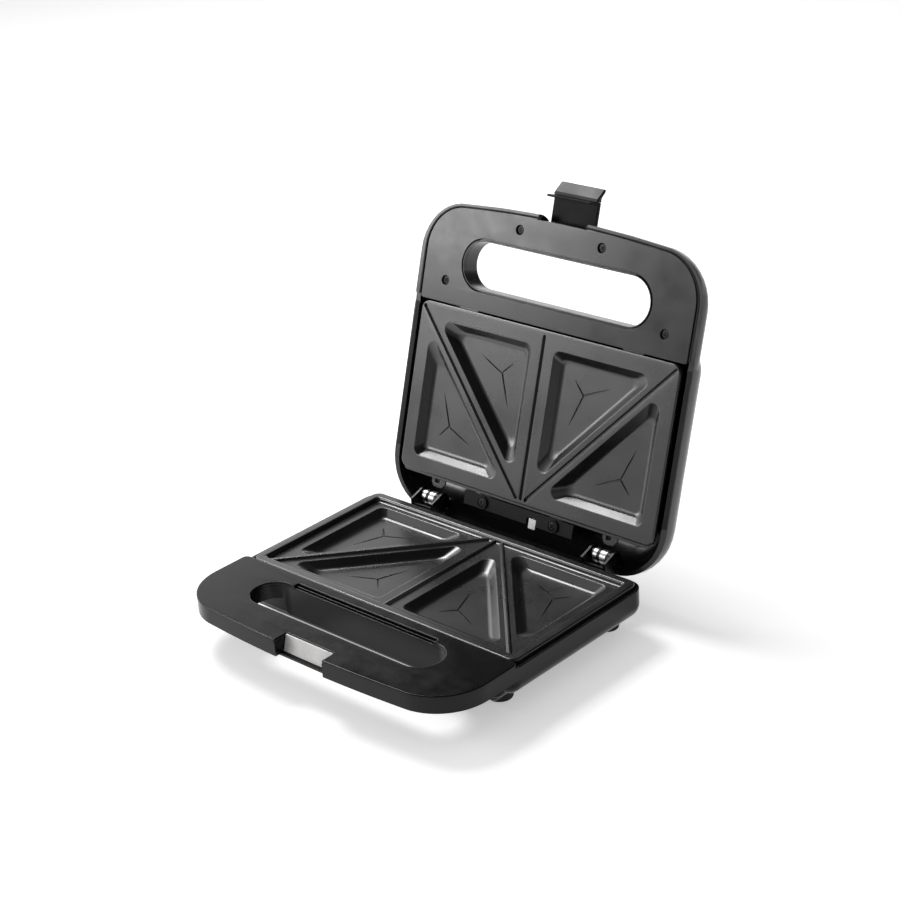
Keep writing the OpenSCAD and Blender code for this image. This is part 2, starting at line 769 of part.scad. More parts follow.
// Sheet tray with low flanges that turn towards the plate
module heat_shield(z, dir) {
    z0 = dir > 0 ? z : z - shield_t;
    lip0 = dir > 0 ? z : z - 5;
    difference() {
        union() {
            box(-shield_w / 2, shield_w / 2, -shield_d / 2, shield_d / 2, z0, z0 + shield_t);
            for (s = [-1, 1])
                translate([0, s * (shield_d - shield_t) / 2, 0])
                    box(-shield_w / 2, shield_w / 2, -shield_t / 2, shield_t / 2, lip0, lip0 + 5);
        }
        for (s = [-1, 1])
            translate([0, s * 20, 0])
                box(-6, 6, -3, 3, z - 6, z + 6);
    }
}

module lower_element() { color(zinc) element(element_z); }
module lower_heat_shield() { color(steel) heat_shield(shield_z - shield_t, 1); }

// Bimetal thermostat pressed to the back of the plate between the heater legs
module thermostat() {
    top = plate_under_z - seat;
    color([0.85, 0.84, 0.8]) {
        rod_z(0, 0, top - 7, top, 7);
        box(-8, 8, -4, 4, top - 1, top);
    }
    color(steel)
        for (s = [-1, 1])
            box(s * 5 - 1.6, s * 5 + 1.6, 7, 14, top - 5, top - 4.4);
}

module thermal_fuse() {
    fuse_r = 2.2;
    x = 28;
    z = pocket_under_z - seat - fuse_r;
    color([0.8, 0.75, 0.6]) {
        rod_x(x - 8, x + 8, -14, z, fuse_r);
        rod_x(x - 16, x + 16, -14, z, 0.6);
    }
}

module terminal_block() {
    color([0.9, 0.88, 0.82])
        difference() {
            box(-15, 15, 16, 30, terminal_z(), terminal_z() + 3.6);
            for (x = [-10, 0, 10]) {
                rod_y(x, 15, 31, terminal_z() + 1.8, 1.1);
            }
        }
}

module wire(points, r) {
    for (i = [0:len(points) - 2]) {
        d = points[i + 1] - points[i];
        translate(points[i])
            rotate([0, acos(d[2] / norm(d)), atan2(d[1], d[0])])
                cylinder(h = norm(d), r = r, $fn = fn_screw);
        translate(points[i + 1]) sphere(r = r + 0.12, $fn = fn_screw);
    }
}

// Leads from the terminal block to the element's ends, past the heat shield
module base_wiring() {
    wire_r = 0.9;
    z = terminal_z() + 1.8;
    out_x = -shield_w / 2 - 4;
    end_x = -element_leg_x - 12 - wire_r - seat;
    color([0.5, 0.1, 0.08])
        wire([[-10, 31.2, z], [-10, 38, z], [out_x, 38, z], [out_x, 38, element_z],
              [out_x, element_leg_y, element_z], [end_x, element_leg_y, element_z]], wire_r);
    color([0.1, 0.2, 0.5])
        wire([[-10, 14.8, z], [-10, 6, z], [out_x, 6, z], [out_x, -element_leg_y, z],
              [out_x, -element_leg_y, element_z], [end_x, -element_leg_y, element_z]], wire_r);
}

// Flanged grommet in the rear wall, bored for the mains cord
module cord_bushing() {
    flange = 2;
    color(rubber)
        difference() {
            union() {
                rod_y(cord_x, cord_boss_y - flange, base_rear + 6, cord_z,
                      bushing_r - 1.4 - seat);
                rod_y(cord_x, base_rear + seat, base_rear + seat + flange, cord_z, bushing_r);
                rod_y(cord_x, cord_boss_y - seat - flange, cord_boss_y - seat, cord_z, bushing_r);
            }
            rod_y(cord_x, cord_boss_y - 10, base_rear + 20, cord_z, cord_r);
        }
}

// ---------------------------------------------------------------- hinges

// Steel bracket on the base's rear wall with an ear on each side of the pin
module hinge_bracket() {
    back = base_rear + seat;
    color(steel)
        difference() {
            union() {
                box(hinge_x - ear_gap / 2 - ear_t, hinge_x + ear_gap / 2 + ear_t,
                    back, back + ear_t, -12, -1);
                for (s = [-1, 1])
                    translate([hinge_x + s * (ear_gap + ear_t) / 2 - ear_t / 2, 0, 0])
                        bracket_ear(back);
            }
            rod_x(hinge_x - ear_gap, hinge_x + ear_gap, hinge_y, hinge_z, pin_r + pin_clear);
            rod_y(hinge_x, back - cut, back + ear_t + cut, bracket_screw_z(), screw_r + fit);
        }
}

module bracket_ear(back) {
    rod_x(0, ear_t, hinge_y, hinge_z, ear_r);
    rotate([90, 0, 90])
        linear_extrude(ear_t)
            polygon([[back, -12], [back + 3, -12], [hinge_y + ear_r * 0.45, hinge_z - ear_r * 0.89],
                     [hinge_y, hinge_z + ear_r], [back, hinge_z + 2]]);
}

// Pin with a head at each end
module hinge_pin() {
    out = ear_gap / 2 + ear_t + seat;
    color(steel) {
        rod_x(hinge_x - out, hinge_x + out, hinge_y, hinge_z, pin_r);
        for (s = [-1, 1])
            rod_x(hinge_x + s * (out + 0.6) - 0.6, hinge_x + s * (out + 0.6) + 0.6,
                  hinge_y, hinge_z, pin_r + 1);
    }
}

module bracket_screws() {
    back = base_rear + seat + ear_t;
    color(zinc)
        both_sides() {
            rod_y(hinge_x, back + eps, back + head_t, bracket_screw_z(), head_r);
            rod_y(hinge_x, base_rear - 2 * wall, back + eps, bracket_screw_z(), screw_r);
        }
}

// Rolled leaf on the lid: a knuckle round the pin and a tongue into the lid
module hinge_leaf() {
    color(steel)
        difference() {
            union() {
                rod_x(hinge_x - knuckle_len / 2, hinge_x + knuckle_len / 2, hinge_y, hinge_z,
                      knuckle_wall_r);
                box(hinge_x - knuckle_len / 2 + 2, hinge_x + knuckle_len / 2 - 2,
                    leaf_y, leaf_y + leaf_t, hinge_z, leaf_top_z);
            }
            rod_x(hinge_x - ear_gap, hinge_x + ear_gap, hinge_y, hinge_z, pin_r + pin_clear);
            rod_y(hinge_x, leaf_y - cut, leaf_y + leaf_t + cut, leaf_screw_z, screw_r + fit);
        }
}

module leaf_screws() {
    color(zinc)
        both_sides() {
            rod_y(hinge_x, leaf_y - head_t, leaf_y - eps, leaf_screw_z, head_r);
            rod_y(hinge_x, leaf_y - eps, leaf_y + leaf_t + 2.7, leaf_screw_z, screw_r);
        }
}

// ---------------------------------------------------------------- lid housing

module lid_outer() {
    pan(half_w, -lid_front, -zone_y + corner_r, corner_r, corner_r,
        lid_handle_edge_r, lid_face_z + 0.2, lid_handle_height, bow_r);
    pan(half_w, -zone_y - lid_edge_r / 2, lid_rear, lid_edge_r, corner_r,
        lid_edge_r, lid_wall_lift, lid_height);
}

module lid_cavity() {
    pan(half_w - lid_rim, -lid_front + wall, -zone_y + corner_r, corner_r - lid_rim,
        corner_r - lid_rim, lid_handle_edge_r - lid_rim, lid_face_z - cut, lid_handle_roof_z,
        bow_r - wall);
    pan(half_w - lid_rim, -zone_y - lid_edge_r / 2 + wall, lid_rear - wall,
        lid_edge_r - wall, corner_r - lid_rim,
        lid_edge_r - wall, lid_face_z - cut, lid_roof_z);
}

module lid_slot(grow, z0, z1) {
    translate([0, -lid_slot_y, z0])
        linear_extrude(z1 - z0)
            slot_plan(lid_slot_len + 2 * grow, lid_slot_w + 2 * grow);
}

function frame_back_z() = lid_face_z + frame_t;

// Solid pieces left standing inside the lid's cavity
module lid_inside() {
    lid_slot(wall, frame_back_z() + seat, lid_height);
    box(-notch_w / 2 - wall, notch_w / 2 + wall, -lid_front, -latch_well_back() + wall,
        frame_back_z() + seat, lid_handle_height);
    both_sides() {
        for (p = frame_screws)
            rod_z(p[0], -p[1], frame_back_z() + seat, lid_height, head_r + 1);
        box(hinge_x - knuckle_len / 2, hinge_x + knuckle_len / 2, leaf_y + leaf_t + seat,
            lid_rear, 8, leaf_top_z);
        box(shield_w / 2 - 14, shield_w / 2 - 10, 18, 22,
            upper_shield_z + shield_t + seat, lid_height);
        box(shield_w / 2 - 14, shield_w / 2 - 10, -22, -18,
            upper_shield_z + shield_t + seat, lid_height);
        rod_z(cover_boss_x, cover_y, cover_back_z() + seat, lid_height, head_r + 1);
    }
    for (s = [-1, 1])
        rod_z(s * lens_x, lens_y, lid_roof_z - 2, lid_height, lens_r + 2);
}

function latch_well_back() = latch_pin_y - knuckle_r - 1.5;
function cover_back_z() = upper_face_z + 3;

module lid_shell() {
    color(plastic)
        difference() {
            lid_outer();
            difference() {
                lid_cavity();
                lid_inside();
            }
            lid_slot(0, lid_face_z - cut, lid_height + cut);
            box(-notch_w / 2, notch_w / 2, -lid_front - cut, -latch_well_back(),
                lid_face_z - cut, lid_height);
            box(-half_w - cut, half_w + cut, -zone_y + 1.5, lid_rear + cut,
                lid_face_z - cut, lid_wall_lift);
            rod_x(-notch_w / 2 - wall + 0.6, notch_w / 2 + wall - 0.6, -latch_pin_y, latch_pin_z,
                  latch_bore_r);
            both_sides() {
                for (p = frame_screws)
                    rod_z(p[0], -p[1], lid_face_z, frame_back_z() + 7, screw_r + eps);
                rod_y(hinge_x, leaf_y, lid_rear - wall, leaf_screw_z, screw_r + eps);
                rod_z(cover_boss_x, cover_y, cover_back_z(), cover_back_z() + 7, screw_r + eps);
            }
            for (s = [-1, 1])
                rod_z(s * lens_x, lens_y, lid_roof_z - 3, lid_height + cut, lens_r);
        }
}

module lid_frame() {
    jog = 0.7;
    color(plastic)
        difference() {
            translate([0, 0, lid_face_z])
                linear_extrude(frame_t)
                    bowed_plan(frame_half, -frame_front, -frame_rear,
                               corner_r - lid_rim - panel_gap, 2, bow_r - wall - seat);
            lid_slot(0, lid_face_z - cut, frame_back_z() + cut);
            box(-notch_w / 2, notch_w / 2, -frame_front - cut, -frame_front + jog,
                lid_face_z - cut, frame_back_z() + cut);
            both_sides()
                for (p = frame_screws) {
                    rod_z(p[0], -p[1], lid_face_z - cut, frame_back_z() + cut, screw_r + fit);
                    rod_z(p[0], -p[1], lid_face_z - cut, lid_face_z + head_t + seat, head_r + fit);
                }
        }
}

module lid_frame_screws() {
    color(dark_plastic)
        both_sides()
            for (p = frame_screws)
                screw_z(p[0], -p[1], lid_face_z + seat, 1, 5);
}

module upper_plate() {
    tab_w = 16;
    tab_x = hinge_x - 13;
    color(coated)
        difference() {
            union() {
                translate([0, 0, upper_face_z])
                    linear_extrude(plate_t)
                        plan(upper_plate_w / 2, -upper_plate_d / 2, upper_plate_d / 2,
                             plate_r, plate_r);
                translate([0, 0, upper_face_z])
                    mirror([0, 0, 1]) pocket_backs();
                both_sides() {
                    box(tab_x, tab_x + tab_w, -frame_rear - 5, -upper_plate_d / 2 + 6,
                        frame_back_z() + seat, frame_back_z() + seat + 2);
                    box(tab_x, tab_x + tab_w, -upper_plate_d / 2, -upper_plate_d / 2 + 6,
                        upper_face_z + 1, frame_back_z() + seat + 2);
                    box(cover_boss_x - 5, cover_boss_x + 5, upper_plate_d / 2 - cut,
                        cover_y + 4, cover_back_z() - 1.6, cover_back_z());
                }
            }
            ridge_lines(ridge_w, upper_face_z - cut, upper_face_z + ridge_h);
            translate([0, 0, upper_face_z]) mirror([0, 0, 1]) pockets();
            both_sides()
                rod_z(cover_boss_x, cover_y, upper_face_z - cut, cover_back_z() + cut,
                      screw_r + fit);
        }
}

module upper_element() { color(zinc) element(upper_element_z); }
module upper_heat_shield() { color(steel) heat_shield(upper_shield_z + shield_t, -1); }

// Bridge over the wires at the hinge side, held by two screws
module wire_cover() {
    top = cover_back_z() - 1.6 - seat;
    color(dark_plastic)
        difference() {
            union() {
                box(-cover_half, cover_half, cover_y - cover_d / 2, cover_y + cover_d / 2,
                    top - 2, top);
                both_sides()
                    rod_z(cover_boss_x, cover_y, top - 3.4, top, head_r + 1.4);
            }
            both_sides() {
                rod_z(cover_boss_x, cover_y, top - 5, top + cut, screw_r + fit);
                rod_z(cover_boss_x, cover_y, top - 5, top - 3.4 + head_t + seat, head_r + fit);
            }
            box(wire_clip_x() - 4, wire_clip_x() + 4, cover_y, cover_y + cover_d, top - 4, top + cut);
        }
}

function wire_clip_x() = 12;

module wire_cover_screws() {
    top = cover_back_z() - 1.6 - seat;
    color(zinc)
        both_sides()
            screw_z(cover_boss_x, cover_y, top - 3.4 + seat, 1, 10);
}

// Bent spring-steel clip that presses the wires to the bridge
module wire_clip() {
    top = cover_back_z() - 1.6 - seat;
    x = wire_clip_x();
    color(steel) {
        box(x - 3, x + 3, cover_y + 0.3, cover_y + 7, top - 0.8, top);
        box(x - 3, x + 3, cover_y + 6.2, cover_y + 7, top - 0.8, top + 5);
    }
}

module lens(x) {
    rod_z(x, lens_y, lid_height - wall - 0.6, lid_height + 0.6, lens_r - seat);
}

module power_lens() { color([0.8, 0.05, 0.03]) lens(-lens_x); }
module ready_lens() { color([0.1, 0.6, 0.12]) lens(lens_x); }

function lamp_base_z() = lid_roof_z - 3.6;

// Neon lamps under the lenses, in a small holder
module indicator_lamps() {
    color([0.95, 0.6, 0.3])
        for (s = [-1, 1])
            rod_z(s * lens_x, lens_y, lamp_base_z(), lid_height - wall - 0.8, lamp_r);
}

module lamp_holder() {
    z1 = lamp_base_z() - seat;
    color([0.9, 0.88, 0.82])
        box(-lens_x - 5, lens_x + 5, lens_y - 4, lens_y + 4,
            upper_shield_z + shield_t + seat, z1);
}

module lid_wiring() {
    wire_r = 0.9;
    z = upper_shield_z + shield_t + 2 * wire_r;
    color([0.5, 0.1, 0.08])
        for (s = [-1, 1])
            wire([[s * lens_x, lens_y + 5.2, z], [s * lens_x, lens_y + 10, z],
                  [6 + s * 2, cover_y - 2, z - 2], [6 + s * 2, cover_y - 2, cover_back_z() + 1]],
                 wire_r);
}

// ---------------------------------------------------------------- latch

module latch_pin() {
    color(steel)
        rod_x(-notch_w / 2 - wall + 0.8, notch_w / 2 + wall - 0.8, -latch_pin_y, latch_pin_z,
              latch_pin_r);
}

// Side profile of the latch in the open position, as [Y, Z] from its pin
module latch_profile() {
    face = latch_offset;
    out = -hook_drop;
    tip = -hook_reach;
    web = knuckle_r - 0.3;
    back = face + latch_t;
    end = out - hook_t - tab_len;
    polygon([[web, -1], [web, back - 1.5], [web - 1.5, back], [out - 3, back],
             [end + 2.5, back + 1.2], [end, back - 0.2], [end, back - 2],
             [out - hook_t - 1, face - 0.6], [out - hook_t, face - 0.6],
             [out - hook_t, tip], [out, tip], [out, face], [-web, face], [-web, -1]]);
    circle(knuckle_r, $fn = fn_round);
}

module latch() {
    color(dark_plastic)
        difference() {
            translate([-latch_w / 2, -latch_pin_y, latch_pin_z])
                rotate([90, 0, 90])
                    linear_extrude(latch_w) latch_profile();
            rod_x(-body_w / 2, body_w / 2, -latch_pin_y, latch_pin_z, latch_bore_r);
        }
}

// ---------------------------------------------------------------- nodes

placed() {
    lower_shell();
    lower_handle_panel();
    strike_plate();
    lower_plate();
    lower_element();
    lower_heat_shield();
    thermostat();
    thermal_fuse();
    terminal_block();
    base_wiring();
    cord_bushing();
    bottom_screws();
    lower_plate_screws();
    mirror([1, 0, 0]) hinge_bracket();  // hinge_bracket_left
    hinge_bracket();  // hinge_bracket_right
    bracket_screws();
    mirror([1, 0, 0]) hinge_pin();  // hinge_pin_left
    hinge_pin();  // hinge_pin_right
    foot(-1, -1);  // foot_front_left
    foot(1, -1);  // foot_front_right
    foot(-1, 1);  // foot_rear_left
    foot(1, 1);  // foot_rear_right
    on_lid() {
        lid_shell();
        lid_frame();
        lid_frame_screws();
        upper_plate();
        upper_element();
        upper_heat_shield();
        mirror([1, 0, 0]) hinge_leaf();  // hinge_leaf_left
        hinge_leaf();  // hinge_leaf_right
        leaf_screws();
        wire_cover();
        wire_cover_screws();
        wire_clip();
        power_lens();
        ready_lens();
        lamp_holder();
        indicator_lamps();
        lid_wiring();
        latch_pin();
        latch();
    }
}
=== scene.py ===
"""Finished surfaces, fine details, stage and camera for the packed sandwich toaster."""

import json
import math
from contextlib import contextmanager
from types import SimpleNamespace

import bmesh
import bpy
from mathutils import Matrix, Vector
from mathutils.geometry import tessellate_polygon


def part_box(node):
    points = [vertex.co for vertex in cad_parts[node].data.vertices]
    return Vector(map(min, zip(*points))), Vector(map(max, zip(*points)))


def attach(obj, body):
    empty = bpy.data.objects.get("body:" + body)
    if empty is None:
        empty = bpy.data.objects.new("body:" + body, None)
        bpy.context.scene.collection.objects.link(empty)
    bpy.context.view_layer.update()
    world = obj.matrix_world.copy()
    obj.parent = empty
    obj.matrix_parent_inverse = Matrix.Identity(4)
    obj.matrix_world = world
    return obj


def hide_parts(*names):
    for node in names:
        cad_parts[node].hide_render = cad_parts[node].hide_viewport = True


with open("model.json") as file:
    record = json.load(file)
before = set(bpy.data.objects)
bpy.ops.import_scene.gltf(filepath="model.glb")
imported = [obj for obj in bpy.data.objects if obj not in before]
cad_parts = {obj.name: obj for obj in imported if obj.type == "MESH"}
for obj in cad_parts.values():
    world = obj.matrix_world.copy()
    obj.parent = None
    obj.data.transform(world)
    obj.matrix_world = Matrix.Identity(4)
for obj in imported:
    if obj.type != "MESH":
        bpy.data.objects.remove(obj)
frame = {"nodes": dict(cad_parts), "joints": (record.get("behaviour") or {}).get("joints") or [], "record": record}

bl_info = {
    "name": "Sandwich toaster dresser",
    "version": (1, 0, 0),
    "blender": (4, 5, 0),
    "location": "View3D > Sidebar > Toaster",
    "description": "Gives the hinged sandwich toaster its finished surfaces and stage",
    "category": "Object",
}

MM = 0.001
FRAME_PX = 900
SHARP = math.radians(32)
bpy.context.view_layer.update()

# ---- frame facts

PLATE_LOW, PLATE_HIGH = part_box("lower_plate")
PLATE_MID_Y = (PLATE_LOW.y + PLATE_HIGH.y) / 2
RIM_Z = PLATE_HIGH.z
HINGE = Vector(frame["joints"][0]["pos_m"])
LID_TURN = math.radians(frame["joints"][0]["range_deg"][1])
SLOTS = {s["node"]: s["material_slot"] for s in frame["record"]["subparts"]}

# Places, in millimetres about the plate rim's middle with the lid closed
HINGE_X = 73
KNUCKLE_Y = 71.8
COVER_SCREW_X = 30
FRAME_SCREWS = [(side * x, y) for x, y in ((33.4, -115.9), (90.2, -73.0)) for side in (-1, 1)]


def base_point(x, y, z):
    """A point of the base, from millimetres about the plate rim's middle."""
    return Vector((x * MM, PLATE_MID_Y + y * MM, RIM_Z + z * MM))


def lid_point(x, y, z):
    """A point of the lid, given where it is with the lid closed, carried to the open lid."""
    p = base_point(x, y, z) - HINGE
    c, s = math.cos(LID_TURN), math.sin(LID_TURN)
    return Vector((p.x, p.y * c + p.z * s, p.z * c - p.y * s)) + Vector((0, HINGE.y, HINGE.z))


def lid_across(y, z, x):
    """A point of the lid for a mesh whose layers run across the lid."""
    return lid_point(x, y, z)


# ---- settings


def length(name, description, millimetres):
    """A length property whose default is given in millimetres."""
    return bpy.props.FloatProperty(name=name, description=description,
                                   default=millimetres * MM, subtype="DISTANCE", unit="LENGTH")


def colour(name, description, value):
    """A linear colour property."""
    return bpy.props.FloatVectorProperty(name=name, description=description, size=3,
                                         default=value, min=0.0, max=1.0, subtype="COLOR")


def angle(name, description, degrees):
    """An angle property whose default is given in degrees."""
    return bpy.props.FloatProperty(name=name, description=description, subtype="ANGLE",
                                   default=math.radians(degrees), unit="ROTATION")


def share(name, description, value):
    """A plain number between nought and one."""
    return bpy.props.FloatProperty(name=name, description=description, default=value,
                                   min=0.0, max=1.0, subtype="FACTOR")


class ToasterFinish(bpy.types.PropertyGroup):
    """Colours and gloss of the toaster's materials."""

    base_colour: colour("Base plastic", "Colour of the base housing", (0.005, 0.005, 0.0052))
    base_rough: share("Base roughness", "Roughness of the base housing", 0.18)
    lid_colour: colour("Lid plastic", "Colour of the lid housing", (0.01, 0.01, 0.0105))
    lid_rough: share("Lid roughness", "Roughness of the lid housing", 0.22)
    coat_colour: colour("Plate coat", "Colour of the non-stick coat", (0.0075, 0.0075, 0.0075))
    coat_rough: share("Coat roughness", "Roughness of the non-stick coat", 0.26)
    steel_colour: colour("Steel", "Colour of the bare steel", (0.62, 0.61, 0.6))
    rubber_colour: colour("Rubber", "Colour of the feet", (0.012, 0.012, 0.012))


class ToasterStage(bpy.types.PropertyGroup):
    """Camera and lights."""

    focal_px: bpy.props.FloatProperty(name="Focal length", default=2037.3,
                                      description="Focal length in pixels of a 900 pixel frame")
    azimuth: angle("Azimuth", "Camera's turn about the toaster", 44.19)
    elevation: angle("Elevation", "Camera's height angle", 24.63)
    roll: angle("Roll", "Camera's roll", -4.27)
    distance: length("Distance", "From the camera to the point it looks at", 1226.0)
    aim_x: length("Aim X", "Point the camera looks at, to the right", 16.18)
    aim_z: length("Aim Z", "Point the camera looks at, above the plate rim", 86.3)
    ambient: bpy.props.FloatProperty(name="Ambient", default=0.5, min=0.0,
                                     description="Strength of the light from all around")


# ---- node helpers


def feed(tree, node, inputs):
    """Gives each named input of a node a socket's link or a plain value."""
    for name, value in inputs.items():
        if isinstance(value, bpy.types.NodeSocket):
            tree.links.new(value, node.inputs[name])
        else:
            node.inputs[name].default_value = value


def add_node(tree, kind, inputs=None, **settings):
    """A node with its settings and inputs; gives its outputs."""
    node = tree.nodes.new(kind)
    for name, value in settings.items():
        setattr(node, name, value)
    feed(tree, node, inputs or {})
    return node.outputs


def add_noise(tree, coords, scale, detail=3.0, rough=0.55, stretch=None):
    """Noise over Object coordinates, in cells a metre."""
    if stretch:
        mapping = {"Vector": coords, "Scale": stretch}
        coords = add_node(tree, "ShaderNodeMapping", mapping)["Vector"]
    return add_node(tree, "ShaderNodeTexNoise", {
        "Vector": coords, "Scale": scale, "Detail": detail, "Roughness": rough})["Fac"]


def add_range(tree, value, low, high, start=0.3, end=0.7):
    """Maps a value from start..end to low..high; a noise mostly stays in 0.3..0.7."""
    return add_node(tree, "ShaderNodeMapRange", {
        "Value": value, "From Min": start, "From Max": end,
        "To Min": low, "To Max": high})["Result"]


def add_math(tree, operation, first, second):
    """A math node on two values, each a socket or a number."""
    return add_node(tree, "ShaderNodeMath", {0: first, 1: second}, operation=operation)[0]


def add_dot(tree, vector, other):
    """Dot product of a vector socket and a fixed vector."""
    return add_node(tree, "ShaderNodeVectorMath", {0: vector, 1: other},
                    operation="DOT_PRODUCT")["Value"]


def scaled(tint, factor):
    """A colour made darker or lighter."""
    return tuple(min(1.0, c * factor) for c in tint)


def add_tint(tree, value, tint, dark, light):
    """A colour between dark and light times the tint, by a noise value."""
    ramp = tree.nodes.new("ShaderNodeValToRGB")
    for stop, place, factor in zip(ramp.color_ramp.elements, (0.3, 0.7), (dark, light)):
        stop.position = place
        stop.color = (*scaled(tint, factor), 1)
    feed(tree, ramp, {"Fac": value})
    return ramp.outputs["Color"]


def add_bump(tree, height, distance, strength):
    """A normal bumped by a height of up to distance metres."""
    return add_node(tree, "ShaderNodeBump", {
        "Height": height, "Distance": distance, "Strength": strength})["Normal"]


def edge_wear(tree, shade, worn, amount):
    """Lightens the outer edges, as rubbed plastic and coating do."""
    pointed = add_node(tree, "ShaderNodeNewGeometry")["Pointiness"]
    return add_node(tree, "ShaderNodeMix", {
        "Factor": add_range(tree, pointed, 0.0, amount, 0.53, 0.62),
        "A": shade, "B": (*worn, 1)}, data_type="RGBA")["Result"]


# ---- materials


def start_material(name):
    """An empty node material with its surface shader and Object coordinates."""
    mat = bpy.data.materials.new(name)
    mat.use_nodes = True
    tree = mat.node_tree
    return (mat, tree, tree.nodes["Principled BSDF"],
            add_node(tree, "ShaderNodeTexCoord")["Object"])


def moulded_plastic(name, tint, rough, shine):
    """Satin moulded plastic: fine spark grain, faint flow marks, rubbed edges."""
    mat, tree, shader, coords = start_material(name)
    shade = add_tint(tree, add_noise(tree, coords, 14, 2.0), tint, 0.88, 1.12)
    smear = add_noise(tree, coords, 60, 4.0, 0.6)
    feed(tree, shader, {
        "Base Color": edge_wear(tree, shade, scaled(tint, 1.9), 0.5),
        "Roughness": add_range(tree, smear, rough - 0.05, rough + 0.06),
        "Specular IOR Level": shine,
        "Normal": add_bump(tree, add_noise(tree, coords, 2600, 2.0), 0.00002, 0.3)})
    return mat


def non_stick_coat(name, tint, rough):
    """Sprayed non-stick coat: orange-peel bump, fine speckle, slight sheen change."""
    mat, tree, shader, coords = start_material(name)
    shade = add_tint(tree, add_noise(tree, coords, 1100, 2.0, 0.7), tint, 0.75, 1.35)
    feed(tree, shader, {
        "Base Color": edge_wear(tree, shade, scaled(tint, 2.4), 0.45),
        "Roughness": add_range(tree, add_noise(tree, coords, 22), rough - 0.05, rough + 0.08),
        "Specular IOR Level": 0.9,
        "Normal": add_bump(tree, add_noise(tree, coords, 420, 2.0), 0.00002, 0.2)})
    return mat


def worked_steel(name, tint, rough, stretch, fine, metal=1.0):
    """Metal with drawn or rolled marks along one direction."""
    mat, tree, shader, coords = start_material(name)
    lines = add_noise(tree, coords, fine, 3.0, 0.6, stretch)
    feed(tree, shader, {
        "Metallic": metal,
        "Base Color": add_tint(tree, add_noise(tree, coords, 90, 4.0), tint, 0.86, 1.05),
        "Roughness": add_range(tree, lines, rough - 0.06, rough + 0.1),
        "Normal": add_bump(tree, lines, 0.00001, 0.4)})
    return mat


def matte_stuff(name, tint, rough, scale, depth):
    """Rubber, ceramic or sleeving: broken surface with a little colour change."""
    mat, tree, shader, coords = start_material(name)
    patch = add_noise(tree, coords, scale)
    feed(tree, shader, {
        "Base Color": add_tint(tree, patch, tint, 0.8, 1.2),
        "Roughness": add_range(tree, patch, rough - 0.08, rough + 0.08),
        "Normal": add_bump(tree, add_noise(tree, coords, scale * 6, 2.0), depth, 0.6)})
    return mat


def lens_glass(name, tint):
    """Tinted clear lens with a faint moulded ripple."""
    mat, tree, shader, coords = start_material(name)
    ripple = add_noise(tree, coords, 700, 2.0)
    feed(tree, shader, {
        "Base Color": (*tint, 1), "Transmission Weight": 0.6, "IOR": 1.49,
        "Roughness": add_range(tree, ripple, 0.05, 0.18),
        "Normal": add_bump(tree, ripple, 0.00004, 0.5)})
    return mat


MATERIALS = {}


def make_materials(finish):
    """Makes every material once, from its recipe and the recipe's values."""
    base, lid, coat = finish.base_colour[:], finish.lid_colour[:], finish.coat_colour[:]
    black = (0.006, 0.006, 0.006)
    drawn, rolled, plain = (0.05, 1, 1), (0.2, 1, 1), (1, 1, 1)
    recipes = {
        "base_plastic": (moulded_plastic, base, finish.base_rough, 0.2),
        "lid_plastic": (moulded_plastic, lid, finish.lid_rough, 0.55),
        "dark_plastic": (moulded_plastic, black, 0.5, 0.2),
        "latch_plastic": (moulded_plastic, black, 0.3, 0.06),
        # Painted sheen: a lighter copy of the latch's black plastic, so that the finger tab reads as catching
        # light
        "tab_plastic": (moulded_plastic, (0.02, 0.02, 0.021), 0.42, 0.3),
        "coated_plate": (non_stick_coat, coat, finish.coat_rough),
        "satin_steel": (worked_steel, finish.steel_colour[:], 0.5, drawn, 1400, 0.4),
        "black_steel": (worked_steel, (0.03, 0.03, 0.03), 0.35, rolled, 700),
        "bright_steel": (worked_steel, (0.72, 0.71, 0.7), 0.2, rolled, 700),
        "screw_zinc": (worked_steel, (0.5, 0.5, 0.5), 0.32, plain, 500),
        "element_steel": (worked_steel, (0.2, 0.19, 0.18), 0.5, (0.1, 1, 1), 900),
        "foot_rubber": (matte_stuff, finish.rubber_colour[:], 0.75, 300, 0.00006),
        "ceramic": (matte_stuff, (0.7, 0.67, 0.6), 0.35, 200, 0.00003),
        "wire_sleeve": (matte_stuff, (0.25, 0.05, 0.04), 0.5, 400, 0.00003),
        "red_lens": (lens_glass, (0.6, 0.02, 0.015)),
        "green_lens": (lens_glass, (0.03, 0.45, 0.06)),
        "lamp_glass": (lens_glass, (0.85, 0.55, 0.3)),
    }
    for name, (recipe, *values) in recipes.items():
        MATERIALS[name] = recipe(name, *values)


def give_material(mesh, name):
    """Makes this the mesh's only material."""
    mesh.materials.clear()
    mesh.materials.append(MATERIALS[name])


# ---- mesh helpers


def linked_object(name, data):
    """A new object with this data, in the scene."""
    obj = bpy.data.objects.new(name, data)
    bpy.context.scene.collection.objects.link(obj)
    return obj


@contextmanager
def editing(mesh):
    """Opens a mesh for changes and writes them back."""
    bm = bmesh.new()
    bm.from_mesh(mesh)
    yield bm
    bm.to_mesh(mesh)
    bm.free()


def smooth_faces(bm):
    """Turns the faces outwards and smooths them, apart from sharp edges."""
    bmesh.ops.recalc_face_normals(bm, faces=bm.faces)
    for face in bm.faces:
        face.smooth = True
    for edge in bm.edges:
        edge.smooth = len(edge.link_faces) == 2 and edge.calc_face_angle(0) < SHARP


